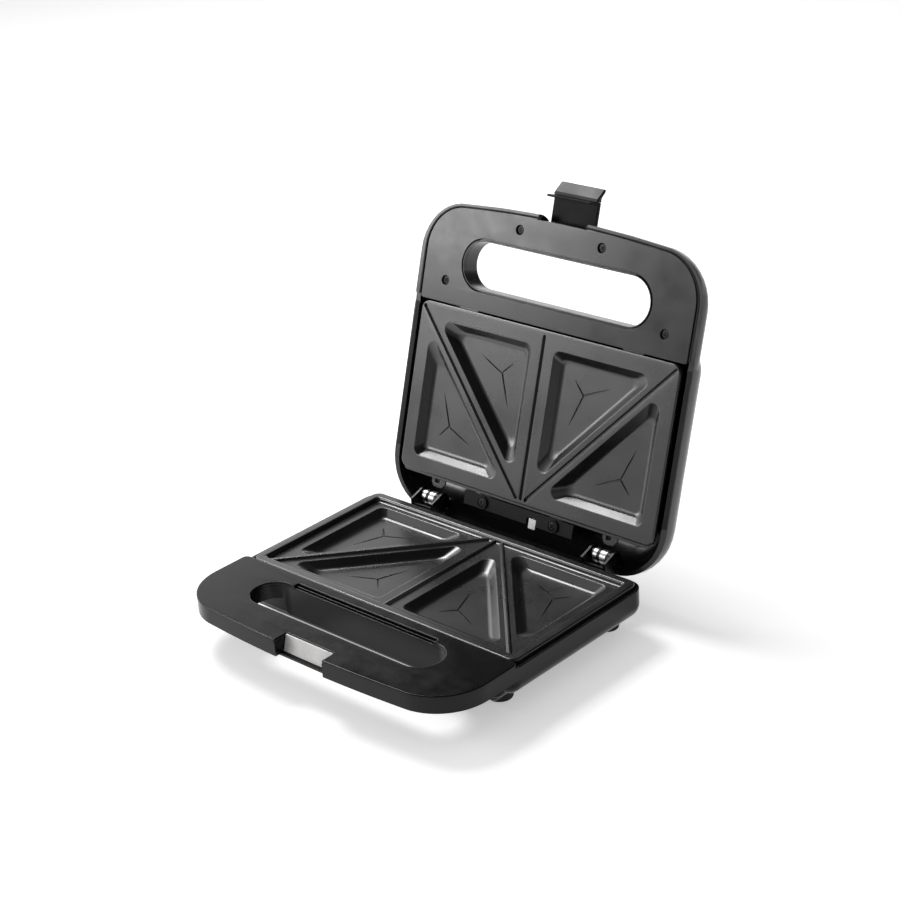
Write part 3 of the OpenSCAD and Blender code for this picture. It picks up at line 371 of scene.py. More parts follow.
class Skin:
    """Collects the points and faces of one mesh, in millimetres."""

    def __init__(self):
        self.points = []
        self.faces = []

    def ring(self, loop, z):
        """Adds a closed loop at height z."""
        start = len(self.points)
        self.points += [(x, y, z) for x, y in loop]
        return range(start, len(self.points))

    def join(self, a, b):
        """Quads between two rings of the same count."""
        count = len(a)
        for i in range(count):
            j = (i + 1) % count
            self.faces.append((a[i], a[j], b[j], b[i]))

    def loft(self, sections):
        """Joins the rings of all sections, each a loop and its height."""
        rings = [self.ring(loop, z) for loop, z in sections]
        for a, b in zip(rings, rings[1:]):
            self.join(a, b)
        return rings[0], rings[-1]

    def cap(self, *rings):
        """Fills the flat area between an outer ring and the rings inside it."""
        order = [i for ring in rings for i in ring]
        flat = [[Vector(self.points[i]) for i in ring] for ring in rings]
        self.faces += [tuple(order[i] for i in tri) for tri in tessellate_polygon(flat)]

    def solid(self, sections):
        """A closed body: the loft with both ends filled."""
        first, last = self.loft(sections)
        self.cap(first)
        self.cap(last)

    def mesh(self, name, place):
        """The collected faces as a mesh, with every point where place puts it."""
        mesh = bpy.data.meshes.new(name)
        mesh.from_pydata([tuple(place(*p)) for p in self.points], [], self.faces)
        mesh.validate()
        return mesh

    def make(self, name, place, slot, body, *nodes, finish=None):
        """Turns the collected mesh into a finished piece."""
        obj = linked_object(name, self.mesh(name, place))
        finish_piece(obj, slot, body, *nodes, finish=finish)


def finish_piece(obj, slot, body, *nodes, finish=None):
    """Smooths an object, sets its material and hangs it on its body."""
    with editing(obj.data) as bm:
        bmesh.ops.remove_doubles(bm, verts=bm.verts, dist=1e-6)
        smooth_faces(bm)
    give_material(obj.data, finish or slot)
    obj.modifiers.new("weighted_normals", "WEIGHTED_NORMAL").keep_sharp = True
    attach(obj, body)
    if nodes:
        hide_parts(*nodes)


def refined(node, body, width=0.0, finish=None):
    """Copy of a carried-over node, merged, with small rounded edges."""
    source = frame["nodes"][node]
    mesh = source.data.copy()
    mesh.transform(source.matrix_world)
    with editing(mesh) as bm:
        bmesh.ops.remove_doubles(bm, verts=bm.verts, dist=2e-6)
        bmesh.ops.dissolve_limit(bm, angle_limit=math.radians(0.5), verts=bm.verts,
                                 edges=bm.edges)
        if width:
            corner = math.radians(40)
            hard = [e for e in bm.edges if e.is_manifold and e.calc_face_angle(0) > corner]
            bmesh.ops.bevel(bm, geom=hard, offset=width * MM, offset_type="OFFSET", segments=2,
                            profile=0.5, affect="EDGES", clamp_overlap=True)
    finish_piece(linked_object(node + "_refined", mesh), SLOTS[node], body, node, finish=finish)


def arc(cx, cy, r, start, end, steps):
    """Points of an arc, ends included, angles in degrees."""
    turn = [math.radians(start + (end - start) * i / steps) for i in range(steps + 1)]
    return [(cx + r * math.cos(a), cy + r * math.sin(a)) for a in turn]


def circle(cx, cy, r, count=32):
    """Points of a full circle."""
    return arc(cx, cy, r, 0, 360 - 360 / count, count - 1)


def rounded(points, radii, steps=6):
    """Replaces each corner of a polygon by an arc of its radius."""
    out = []
    for i, corner in enumerate(points):
        p = Vector(corner)
        to_a = (Vector(points[i - 1]) - p).normalized()
        to_b = (Vector(points[(i + 1) % len(points)]) - p).normalized()
        half = to_a.angle(to_b) / 2
        centre = p + (to_a + to_b).normalized() * radii[i] / math.sin(half)
        away = radii[i] / math.tan(half)
        a = p + to_a * away - centre
        b = p + to_b * away - centre
        start = math.atan2(a.y, a.x)
        turn = (math.atan2(b.y, b.x) - start + math.pi) % (2 * math.pi) - math.pi
        for k in range(steps + 1):
            heading = start + turn * k / steps
            out.append((centre.x + radii[i] * math.cos(heading),
                        centre.y + radii[i] * math.sin(heading)))
    return out


def oblong(x0, x1, y0, y1, r, steps=3):
    """Oblong with four equal round corners, anticlockwise."""
    return rounded([(x0, y0), (x1, y0), (x1, y1), (x0, y1)], [r] * 4, steps)


def plan(half, y0, y1, r0, r1, steps=12):
    """Rounded oblong, anticlockwise from its front left corner."""
    return rounded([(-half, y0), (half, y0), (half, y1), (-half, y1)], [r0, r0, r1, r1], steps)


def notched(half, front, rear, notch_half, notch_back, radii, steps):
    """Outline of a handle's face with a notch in its front edge, anticlockwise."""
    return rounded([(-half, front), (-notch_half, front), (-notch_half, notch_back),
                    (notch_half, notch_back), (notch_half, front), (half, front),
                    (half, rear), (-half, rear)], radii, steps)


def bowed(loop, front, corner, reach, bow):
    """Bends the front edge of a loop back towards its corners, in an arc of radius bow."""
    longest = 8
    out = []
    for here, there in zip(loop, loop[1:] + loop[:1]):
        in_front = max(here[1], there[1]) < front + 1
        count = max(1, int(abs(there[0] - here[0]) / longest)) if in_front else 1
        for i in range(count):
            x = here[0] + (there[0] - here[0]) * i / count
            y = here[1] + (there[1] - here[1]) * i / count
            if y < front + corner + 0.1:
                y += bow - math.sqrt(bow * bow - min(abs(x), reach) ** 2)
            out.append((x, y))
    return out


def inset(loop, distance):
    """Moves a loop's points along their mitred normals, to the left of the way it runs."""
    moved = []
    for i, here in enumerate(loop):
        p = Vector(here)
        d1 = (p - Vector(loop[i - 1])).normalized()
        d2 = (Vector(loop[(i + 1) % len(loop)]) - p).normalized()
        mitre = Vector((-d1.y - d2.y, d1.x + d2.x))
        mitre /= max(0.5, mitre.dot(Vector((-d1.y, d1.x))))
        moved.append(tuple(p + mitre * distance))
    return moved


def edge_round(radius, steps=4):
    """Pairs of inset and drop that turn a flat face into its side."""
    turn = [math.radians(90 * i / steps) for i in range(steps + 1)]
    return [(radius * (1 - math.sin(a)), radius * (1 - math.cos(a))) for a in turn]


def slab(skin, outline, holes, low, high, radius, low_radius=None):
    """Flat piece from an outline with holes, its edges rounded on both faces."""
    under = radius if low_radius is None else low_radius
    levels = [(i, low + d) for i, d in edge_round(under)]
    levels += [(i, high - d) for i, d in reversed(edge_round(radius))]
    ends = [skin.loft([(inset(loop, i), z) for i, z in levels]) for loop in [outline] + holes]
    skin.cap(*[end[0] for end in ends])
    skin.cap(*[end[1] for end in ends])


def slot_loop(length_x, width, middle_y, step=()):
    """Slot with round ends along X and a step in its rear side, clockwise as a hole."""
    reach = (length_x - width) / 2
    right = arc(reach, middle_y, width / 2, -90, 90, 16)
    left = arc(-reach, middle_y, width / 2, 90, 270, 16)
    return [*right, *step, *left][::-1]


def mirrored(loop):
    """The loop on the other side of the middle, running the same way round."""
    return [(-x, y) for x, y in loop][::-1]


def slab_pair(skin, loop, low, high, radius):
    """The same flat piece on either side of the middle."""
    for outline in (loop, mirrored(loop)):
        slab(skin, outline, [], low, high, radius)


def turned(skin, profile, x, y, count=40):
    """Body of revolution about a line along Z, from (radius, height) pairs."""
    skin.solid([(circle(x, y, r, count), z) for r, z in profile])


# ---- handles


class HandleShape(bpy.types.PropertyGroup):
    """Sizes of the two flat handle faces, measured from the plates' middle."""

    half_width: length("Half width", "Half the width of the housings", 115)
    base_front: length("Base front", "Front edge of the base handle", 124)
    panel_rear: length("Panel rear", "Rear edge of the base handle's panel", 58.8)
    panel_top: length("Panel top", "Height of the base handle's face", 0.8)
    panel_thick: length("Panel thickness", "Thickness of the base handle's panel", 2.4)
    corner: length("Corner", "Corner radius of the housings", 35)
    bow: length("Bow", "Radius of the gentle bow of the front edges", 1000)
    base_slot: length("Base slot", "Length of the base's finger slot", 154)
    base_slot_w: length("Base slot width", "Width of the base's finger slot", 28.5)
    base_slot_y: length("Base slot middle", "Where the base's finger slot is", 84.3)
    step_half: length("Step", "Half the length of the step behind the slot", 59)
    step_w: length("Step width", "Width of the step behind the slot", 4.2)
    step_floor: length("Step floor", "Height of the step's floor", -2.2)
    notch_half: length("Notch", "Half the width of the latch notch", 20)
    notch_back: length("Notch back", "Back of the latch notch", 113.2)
    frame_half: length("Frame", "Half the width of the lid's frame", 109.7)
    frame_front: length("Frame front", "Front edge of the lid's frame", 125.7)
    lip_w: length("Lip width", "Width of the lip around the lid's finger slot", 0.9)
    lip_gap: length("Lip gap", "Groove between the lip and the lid's frame", 0.9)
    # The dark bead is painted shade: a thin dark sheet over the lid's rim where the gap beside the frame lies in
    # shade
    shade_sheet_half: length("Bead", "Half the width of the dark bead on the lid's rim", 112)
    shade_sheet_gap: length("Bead gap", "Half the gap that the bead leaves for the latch", 18.4)
    frame_rear: length("Frame rear", "Rear edge of the lid's frame", 58.3)
    frame_corner: length("Frame corner", "Corner radius of the lid's frame", 29.7)
    frame_jog: length("Frame jog", "Depth of the frame's step at the latch", 0.7)
    recess: length("Screw recess", "Radius of the frame's screw recesses", 3.2)
    frame_face: length("Frame face", "Height of the frame's face with the lid closed", 1.8)
    frame_thick: length("Frame thickness", "Thickness of the lid's frame", 2)
    lid_slot: length("Lid slot", "Length of the lid's finger slot", 152.5)
    lid_slot_w: length("Lid slot width", "Width of the lid's finger slot", 31.5)
    lid_slot_y: length("Lid slot middle", "Where the lid's finger slot is", 87.9)
    edge: length("Edge", "Radius of the moulded edges", 0.7)


def in_millimetres(group):
    """A property group's lengths in millimetres, its angles and shares as they are."""
    kinds = group.bl_rna.properties
    return SimpleNamespace(**{
        name: getattr(group, name) / (MM if kinds[name].subtype == "DISTANCE" else 1)
        for name in group.__annotations__})


def stepped_slot(s):
    """The base's finger slot with the step along its rear side, clockwise."""
    rear = -s.base_slot_y + s.base_slot_w / 2
    step = rounded([(s.step_half, rear), (s.step_half, rear + s.step_w),
                    (-s.step_half, rear + s.step_w), (-s.step_half, rear)],
                   [0.05, 1.0, 1.0, 0.05], 5)
    return slot_loop(s.base_slot, s.base_slot_w, -s.base_slot_y, step)


class MakeHandlePanel(bpy.types.Operator):
    """Makes the base handle's face with its notch, slot and stepped ledge."""

    bl_idname = "toaster.handle_panel"
    bl_label = "Base handle face"

    def execute(self, context):
        s = in_millimetres(context.scene.toaster_handles)
        outline = notched(s.half_width, -s.base_front, -s.panel_rear, s.notch_half,
                          -s.notch_back, [s.corner, 1.0, 0.8, 0.8, 1.0, s.corner, 4, 4], 12)
        outline = bowed(outline, -s.base_front, s.corner, s.half_width - s.corner, s.bow)
        skin = Skin()
        slab(skin, outline, [stepped_slot(s)], s.panel_top - s.panel_thick, s.panel_top,
             s.edge, 0.05)
        skin.make("handle_panel", base_point, "base_plastic", "base", "lower_handle_panel")
        make_ledge(s)
        return {"FINISHED"}


def make_ledge(s):
    """Two thin ribs in the step behind the base's finger slot and one under its front edge."""
    gap, corner = 0.3, 0.3
    rear = -s.base_slot_y + s.base_slot_w / 2
    front = -s.base_slot_y - s.base_slot_w / 2
    reach = s.step_half - gap
    skin = Skin()
    for y0, y1, top in ((0.1, 1.0, -0.9), (2.0, 2.9, -0.3)):
        rib = oblong(-reach, reach, rear + y0, rear + y1, corner)
        slab(skin, rib, [], s.step_floor, top, 0.2)
    start, end = -46, s.base_slot / 2 - 4
    low, high = -12.6, -9.8
    slab(skin, oblong(start, end, front - 1.6, front - 0.1, 0.4), [], low, high, 0.3)
    skin.make("handle_ledge", base_point, "base_plastic", "base")


class MakeLidFrame(bpy.types.Operator):
    """Makes the lid handle's inner face with its slot and screw recesses."""

    bl_idname = "toaster.lid_frame"
    bl_label = "Lid handle face"

    def execute(self, context):
        s = in_millimetres(context.scene.toaster_handles)
        outline = notched(s.frame_half, -s.frame_front, -s.frame_rear, s.notch_half,
                          -s.frame_front + s.frame_jog,
                          [s.frame_corner, 0.3, 0.3, 0.3, 0.3, s.frame_corner, 2, 2], 10)
        outline = bowed(outline, -s.frame_front, s.frame_corner, s.frame_half - s.frame_corner,
                        s.bow - s.frame_thick)
        away = 2 * (s.lip_w + s.lip_gap)
        holes = [slot_loop(s.lid_slot + away, s.lid_slot_w + away, -s.lid_slot_y)]
        holes += [circle(x, y, s.recess, 28)[::-1] for x, y in FRAME_SCREWS]
        skin = Skin()
        slab(skin, outline, holes, s.frame_face, s.frame_face + s.frame_thick, 0.25)
        skin.make("lid_frame_face", lid_point, "lid_plastic", "lid", "lid_frame")
        make_slot_lip(s)
        # Also lays the dark sheet of painted shade on the lid's rim
        make_painted_shade_sheet(s)
        make_cheeks()
        return {"FINISHED"}


def make_slot_lip(s):
    """Raised lip of the housing around the lid's finger slot."""
    skin = Skin()
    outer = slot_loop(s.lid_slot + 2 * s.lip_w, s.lid_slot_w + 2 * s.lip_w, -s.lid_slot_y)
    slab(skin, outer[::-1], [slot_loop(s.lid_slot, s.lid_slot_w, -s.lid_slot_y)],
         s.frame_face - 0.1, s.frame_face + s.frame_thick, 0.3)
    skin.make("lid_slot_lip", lid_point, "lid_plastic", "lid")


def make_painted_shade_sheet(s):
    """Painted shade: a dark bead in the inner half of the lid's rim, with a gap for the latch; it stands in for
    the shade of the gap beside the lid's frame.

    A strip carries the painted shade on beside the plate."""
    outer, inner = s.shade_sheet_half, s.frame_half + 1.0
    reach = s.frame_front + 1.2
    back = -s.frame_rear - 2
    corner = s.frame_corner + 2
    ring = rounded([(s.shade_sheet_gap, -reach), (outer, -reach), (outer, back), (inner, back),
                    (inner, -reach + 0.9), (s.shade_sheet_gap, -reach + 0.9)],
                   [0.1, corner, 0.2, 0.2, corner - 1, 0.1], 10)
    ring = bowed(ring, -reach, corner, s.half_width - s.corner, s.bow)
    strip = oblong(110.9, 114.1, -55, 44, 0.3)
    strip_low, strip_high = 2.6, 3.2
    skin = Skin()
    slab_pair(skin, ring, s.frame_face - 0.05, s.frame_face + 0.6, 0.15)
    slab_pair(skin, strip, strip_low, strip_high, 0.15)
    # Painted shade: dark plastic laid where the rim and its gap lie in shade, not a part of the lid
    skin.make("lid_bead", lid_point, "lid_plastic", "lid", finish="dark_plastic")


def make_cheeks():
    """Two blocks beside the latch that end under the lid handle's rounded edge."""
    back, low = -114, 3
    edge_y, edge_z, edge_r = -117.5, 4, 10.1
    inner, thick = 18.1, 2.1
    loop = [(edge_y - edge_r, low), (back, low), (back, edge_z + edge_r)]
    loop += arc(edge_y, edge_z, edge_r, 90, 180, 10)
    skin = Skin()
    for start in (-inner - thick, inner):
        slab(skin, loop, [], start, start + thick, 0.3)
    skin.make("latch_cheeks", lid_across, "lid_plastic", "lid", finish="dark_plastic")


# ---- plates


class PlateShape(bpy.types.PropertyGroup):
    """Sizes of the two cast plates, measured from their middle."""

    lower_half: length("Lower half width", "Half the width of the lower plate", 111)
    lower_reach: length("Lower half depth", "Half the depth of the lower plate", 57.9)
    upper_half: length("Upper half width", "Half the width of the upper plate", 107)
    upper_reach: length("Upper half depth", "Half the depth of the upper plate", 57.25)
    corner: length("Corner", "Corner radius of the plates", 6)
    rim: length("Rim", "Width of the lower plate's raised rim", 6.5)
    land: length("Land", "Height of the land below the rim", -3)
    upper_face: length("Upper face", "Height of the upper plate's face, lid closed", 1)
    cast: length("Casting", "Thickness of the casting", 3)
    pocket: length("Pocket", "Depth of the pockets", 5)
    wall_slope: angle("Wall slope", "Slope of the pockets' walls", 44)
    floor_r: length("Floor radius", "Radius between a pocket's wall and floor", 4.5)
    pocket_corner: length("Pocket corner", "Corner radius of the pockets", 5)
    pocket_side: length("Pocket side", "Outer edge of the outer pockets", 96)
    pocket_rear: length("Pocket rear", "Rear edge of the outer pockets", 46.5)
    pocket_front: length("Pocket front", "Front edge of the inner pockets", 46)
    pocket_mid: length("Pocket middle", "Inner edge of the inner pockets", 10)
    ridge_land: length("Ridge land", "Land between a ridge and the pockets", 5.5)
    ridge_w: length("Ridge width", "Width of a cutting ridge", 2.4)
    ridge_h: length("Ridge height", "Height of a cutting ridge", 1.6)
    ridge_front: length("Ridge front", "Front end of the diagonal ridges", 104.6)
    ridge_rear: length("Ridge rear", "Rear end of the diagonal ridges", 3.2)
    ridge_reach: length("Ridge reach", "Reach of the ridges to front and rear", 54.5)
    lip: length("Lip", "Radius of the pockets' lips", 0.9)
    mark_w: length("Mark width", "Width of the three-arm marks", 1.3)
    mark_h: length("Mark depth", "Depth of the three-arm marks", 0.8)
    mark_reach: share("Mark reach", "Share of the way to the corners that the arms take", 0.35)


def pocket_triangles(s):
    """Corners of the right half's outer and inner pocket."""
    run = Vector((s.ridge_rear - s.ridge_front, 2 * s.ridge_reach)).normalized()
    out = Vector((run.y, -run.x))
    start = Vector((s.ridge_front, -s.ridge_reach))

    def x_at(off, y):
        return start.x + (off - out.y * (y - start.y)) / out.x

    def y_at(off, x):
        return start.y + (off - out.x * (x - start.x)) / out.y

    outer = [(s.pocket_side, y_at(s.ridge_land, s.pocket_side)), (s.pocket_side, s.pocket_rear),
             (x_at(s.ridge_land, s.pocket_rear), s.pocket_rear)]
    inner = [(s.pocket_mid, -s.pocket_front),
             (x_at(-s.ridge_land, -s.pocket_front), -s.pocket_front),
             (s.pocket_mid, y_at(-s.ridge_land, s.pocket_mid))]
    return outer, inner


def all_pockets(s):
    """The four pockets' triangles, all anticlockwise."""
    halves = pocket_triangles(s)
    return list(halves) + [mirrored(t) for t in halves]


def incircle(triangle):
    """Middle and radius of a triangle's inner circle."""
    a, b, c = (Vector(p) for p in triangle)
    sides = ((b - c).length, (c - a).length, (a - b).length)
    around = sum(sides)
    middle = (a * sides[0] + b * sides[1] + c * sides[2]) / around
    area2 = abs((b.x - a.x) * (c.y - a.y) - (b.y - a.y) * (c.x - a.x))
    return middle, area2 / around


def shrunk(loop, middle, radius, by):
    """A loop scaled about its middle so that its inner circle loses by."""
    k = (radius - by) / radius
    return [tuple(middle + (Vector(p) - middle) * k) for p in loop]


def star(triangle, width, share_of_way):
    """Outline of the three-arm mark, its arms towards the triangle's corners."""
    middle = incircle(triangle)[0]
    shoulder, tip = 0.45, 0.15
    arms = sorted((Vector(p) - middle for p in triangle), key=lambda v: math.atan2(v.y, v.x))
    loop = []
    for i, arm in enumerate(arms):
        along = arm.normalized()
        across = Vector((-along.y, along.x)) * width / 2
        after = arms[(i + 1) % 3].normalized()
        between = along.angle(after) / 2
        corner = Vector((math.cos(between), math.sin(between)))
        corner.rotate(Matrix.Rotation(math.atan2(along.y, along.x), 2))
        reach = arm * share_of_way
        loop += [middle + reach * shoulder - across, middle + reach - across * tip,
                 middle + reach + across * tip, middle + reach * shoulder + across,
                 middle + corner * width / 2 / math.sin(between)]
    return [tuple(p) for p in loop]


def pocket_loft(skin, triangle, s, sections):
    """Joins a pocket's rounded outlines, each pulled in by a distance; gives the two ends."""
    middle, radius = incircle(triangle)
    loop = rounded(triangle, [s.pocket_corner] * 3, 9)
    return skin.loft([(shrunk(loop, middle, radius, by), z) for by, z in sections])


def add_pocket(skin, triangle, face, way, s):
    """One pocket: rounded lip, sloping wall, rounded foot, marked floor; gives its lip's ring."""
    slope, lip_r, floor_r = s.wall_slope, s.lip, s.floor_r
    turn = [slope * i / 5 for i in range(6)]
    sections = [(lip_r * (math.sin(a) - 1), lip_r * (1 - math.cos(a))) for a in turn]
    run = (s.pocket - (lip_r + floor_r) * (1 - math.cos(slope))) / math.tan(slope)
    end = lip_r * (math.sin(slope) - 1) + run + floor_r * math.sin(slope)
    sections += [(end - floor_r * math.sin(a), s.pocket - floor_r * (1 - math.cos(a)))
                 for a in reversed(turn)]
    lip, floor = pocket_loft(skin, triangle, s, [(by, face + way * z) for by, z in sections])
    deep = face + way * s.pocket
    mouth = star(triangle, s.mark_w, s.mark_reach)
    bed = star(triangle, s.mark_w * 0.35, s.mark_reach - 0.01)
    top, foot = skin.loft([(mouth, deep), (bed, deep + way * s.mark_h)])
    skin.cap(floor, top)
    skin.cap(foot)
    return lip


def add_back(skin, triangle, under, way, s):
    """The casting behind one pocket; gives its ring in the underside."""
    deep = under + way * s.pocket
    wall = ((-1, under), (-1, deep - way), (-0.3, deep))
    first, last = pocket_loft(skin, triangle, s, wall)
    skin.cap(last)
    return first


def ridge_lines(s):
    """Start and end of the three ridges."""
    diagonal = (Vector((s.ridge_front, -s.ridge_reach)), Vector((s.ridge_rear, s.ridge_reach)))
    other = tuple(Vector((-p.x, p.y)) for p in diagonal)
    return [(Vector((0, -s.ridge_reach)), Vector((0, s.ridge_reach))), diagonal, other]


def line_loop(start, end, half):
    """Narrow loop with round ends about a line, anticlockwise."""
    along = (end - start).normalized()
    heading = math.degrees(math.atan2(along.y, along.x))
    a = end - along * half
    b = start + along * half
    return (arc(a.x, a.y, half, heading - 90, heading + 90, 8)
            + arc(b.x, b.y, half, heading + 90, heading + 270, 8))


def ridge_sections(s, side, level):
    """For every ridge line, the loops and heights of a side that starts at a level."""
    half = s.ridge_w / 2
    return [[(line_loop(start, end, half + out), level + up) for out, up in side]
            for start, end in ridge_lines(s)]


def add_ridges(skin, s):
    """Rounded cutting ridges that stand on the lower plate's land."""
    side = ((0.5, -0.4), (0.5, -0.02), (0.15, 0.15), (0, 0.5), (-0.15, s.ridge_h - 0.45),
            (-0.35, s.ridge_h - 0.15), (-0.7, s.ridge_h))
    for sections in ridge_sections(s, side, s.land):
        skin.solid(sections)


def add_grooves(skin, s):
    """Grooves of the upper plate that the ridges close into; gives their lips."""
    side = ((0.35, 0), (0.1, 0.1), (0, 0.35), (-0.2, 1.2), (-0.6, s.ridge_h))
    lips = []
    for sections in ridge_sections(s, side, s.upper_face):
        lip, foot = skin.loft(sections)
        skin.cap(foot)
        lips.append(lip)
    return lips


def plate_loop(half, reach, corner, by):
    """Outline of a plate pulled in by a distance."""
    least = 2.4
    r = max(corner - by, least)
    return plan(half - by, by - reach, reach - by, r, r, 10)


def add_plate(skin, s, size, rim, face, way, grooves=()):
    """A plate's rim and its face with the pockets and their backs."""
    under = face + way * s.cast
    foot, inner = skin.loft([(plate_loop(*size, s.corner, by), z) for by, z in rim])
    lips = [add_pocket(skin, t, face, way, s) for t in all_pockets(s)]
    backs = [add_back(skin, t, under, way, s) for t in all_pockets(s)]
    skin.cap(inner, *lips, *grooves)
    skin.cap(foot, *backs)


class MakeLowerPlate(bpy.types.Operator):
    """Makes the lower plate: rim, land, ridges, pockets and casting."""

    bl_idname = "toaster.lower_plate"
    bl_label = "Lower plate"

    def execute(self, context):
        s = in_millimetres(context.scene.toaster_plates)
        under = s.land - s.cast
        rim = [(0.6, under), (0, under + 0.6), (0, -1.1), (0.1, -0.65), (0.35, -0.25),
               (0.7, -0.06), (1.1, 0), (s.rim - 1.6, 0), (s.rim - 1.1, -0.08),
               (s.rim - 0.7, -0.3), (s.rim - 0.3, -0.8), (s.rim - 0.1, -1.4),
               (s.rim, s.land + 0.8), (s.rim + 0.3, s.land + 0.3), (s.rim + 0.9, s.land)]
        skin = Skin()
        add_plate(skin, s, (s.lower_half, s.lower_reach), rim, s.land, -1)
        add_ridges(skin, s)
        stud = [(3.4, under + 0.5), (3.4, -15.3), (3.0, -15.8)]
        stud_in = 7
        x, y = s.lower_half - stud_in, s.lower_reach - stud_in
        for at in ((-x, -y), (-x, y), (x, -y), (x, y)):
            turned(skin, stud, *at, 20)
        skin.make("lower_plate_cast", base_point, "coated_plate", "base", "lower_plate")
        return {"FINISHED"}


class MakeUpperPlate(bpy.types.Operator):
    """Makes the upper plate: face, grooves, pockets, tabs and casting."""

    bl_idname = "toaster.upper_plate"
    bl_label = "Upper plate"

    def execute(self, context):
        s = in_millimetres(context.scene.toaster_plates)
        face, under = s.upper_face, s.upper_face + s.cast
        rim = [(0.5, under), (0, under - 0.5), (0, face + 1.1), (0.1, face + 0.65),
               (0.35, face + 0.25), (0.7, face + 0.06), (1.1, face)]
        skin = Skin()
        add_plate(skin, s, (s.upper_half, s.upper_reach), rim, face, 1, add_grooves(skin, s))
        add_tabs(skin, s)
        skin.make("upper_plate_cast", lid_point, "coated_plate", "lid", "upper_plate")
        return {"FINISHED"}


def add_tabs(skin, s):
    """Tabs behind the lid's frame, bosses for the wire cover's screws and a rear flange."""
    rear = s.upper_reach
    tabs = ((60, 76, -rear - 7.8, -rear + 6, 4.0, 6.0), (60, 76, -rear + 0.2, -rear + 6, 2.0, 5.9),
            (25, 35, rear - 1, rear + 10.5, 2.4, 4.0))
    for x0, x1, y0, y1, low, high in tabs:
        slab_pair(skin, oblong(x0, x1, y0, y1, 0.4), low, high, 0.25)
    flange = plan(s.upper_half - 3, rear - 3, rear + 1.7, 0.8, 2.4, 6)
    slab(skin, flange, [], 2.3, 3.2, 0.25)


# ---- latch


class LatchShape(bpy.types.PropertyGroup):
    """Sizes of the latch, measured from its pin."""

    half_width: length("Half width", "Half the width of the latch", 17.8)
    pin_y: length("Pin reach", "Distance of the pin from the plates' middle", 121.5)
    pin_z: length("Pin height", "Height of the pin with the lid closed", 7.1)
    face: length("Face", "Inner face of the latch plate from the pin", 5.1)
    thick: length("Thickness", "Thickness of the latch plate", 3)
    drop: length("Drop", "Distance from the pin to the hook", 18.9)
    grip: length("Grip", "How far the hook's lip reaches back", 2.7)
    hook: length("Hook", "Thickness of the hook", 1.5)
    tab: length("Tab", "Length of the finger tab beyond the hook", 8.5)
    hub: length("Hub", "Radius of the hub about the pin", 2.8)


class MakeLatch(bpy.types.Operator):
    """Makes the latch's moulding, which is hub, plate and hook, and its finger tab."""

    bl_idname = "toaster.latch"
    bl_label = "Latch"

    def execute(self, context):
        s = in_millimetres(context.scene.toaster_latch)
        back, out = s.face + s.thick, -s.drop
        foot = out - s.hook
        end = foot - s.tab
        web = s.hub - 0.3
        meet = math.degrees(math.acos(web / s.hub))
        corners = [(web, back - 1.2), (web - 1.2, back), (foot + 0.1, back), (foot + 0.1, s.face),
                   (foot, s.face - 0.3), (foot, -s.grip), (out, -s.grip),
                   (out, s.face), (-web, s.face)]
        radii = [0.5, 0.5, 0.2, 0.1, 0.1, 0.45, 0.4, 0.5, 0.5]
        hub = arc(0, 0, s.hub, 180 - meet, 360 + meet, 20)
        plate = hub + rounded([hub[-1]] + corners + [hub[0]], [0.1] + radii + [0.1], 5)[6:-6]
        tab = rounded([(foot, back), (foot - 3, back + 0.4), (end + 2, back + 3.2),
                       (end, back + 3.2), (end + 0.2, back + 1.8),
                       (foot - 1.9, s.face - 0.9), (foot, s.face - 0.9)],
                      [0.2, 3, 1.2, 0.5, 1.0, 1.5, 0.2], 6)

        def place(y, z, x):
            return lid_across(y - s.pin_y, z + s.pin_z, x)

        for name, loop, half, edge, finish, nodes in (
                ("latch_moulding", plate, s.half_width, 0.4, "latch_plastic", ["latch"]),
                # The tab's lighter finish is painted sheen on the latch's own black plastic
                ("latch_tab", tab, s.half_width + 0.15, 1.1, "tab_plastic", [])):
            skin = Skin()
            slab(skin, loop, [], -half, half, edge)
            skin.make(name, place, "latch_plastic", "latch", *nodes, finish=finish)
        return {"FINISHED"}


# ---- screws and wires


class FastenerShape(bpy.types.PropertyGroup):
    """Sizes of the screws and of the wires."""

    head_r: length("Head", "Radius of the screw heads", 2.9)
    head_t: length("Head thickness", "Thickness of the screw heads", 1)
    shank_r: length("Shank", "Radius of the screw shanks", 1.45)
    cross: length("Cross", "Reach of the cross recess", 1.7)
    cross_w: length("Cross width", "Width of the cross recess", 0.62)
    wire_r: length("Wire", "Radius of the wires' sleeves", 0.9)
    wire_bend: length("Wire bend", "Radius of the wires' bends", 3)
    turn_seed: bpy.props.IntProperty(name="Turn seed", default=4,
                                     description="Picks how far each screw was driven home")


# Each group: piece name, body, node replaced, shank length, the way that the shanks point,
# then each head's outer face
SCREW_GROUPS = (
    ("frame_screws", "lid", "lid_frame_screws", 5.0, (0, 0, 1),
     [(x, y, 2.9) for x, y in FRAME_SCREWS]),
    ("cover_screws", "lid", "wire_cover_screws", 10.0, (0, 0, 1),
     [(x, 63.75, -1.0) for x in (-COVER_SCREW_X, COVER_SCREW_X)]),
    ("leaf_screw_pair", "lid", "leaf_screws", 4.6, (0, 1, 0),
     [(x, 73.2, 11) for x in (-HINGE_X, HINGE_X)]),
    ("bracket_screw_pair", "base", "bracket_screws", 6.6, (0, -1, 0),
     [(x, 63.5, -8) for x in (-HINGE_X, HINGE_X)]),
    ("panel_screw_set", "base", "bottom_screws", 8.2, (0, 0, 1),
     [(x, y, -9.5) for x, y in ((-33.4, -117.5), (33.4, -117.5), (-96, -76.05), (96, -76.05))]),
    ("plate_screw_set", "base", "lower_plate_screws", 7.9, (0, 0, 1),
     [(x, y, -20) for x in (-104, 104) for y in (-50.9, 50.9)]),
)

SCREW_FINISH = {"cover_screws": "black_steel", "frame_screws": "black_steel"}

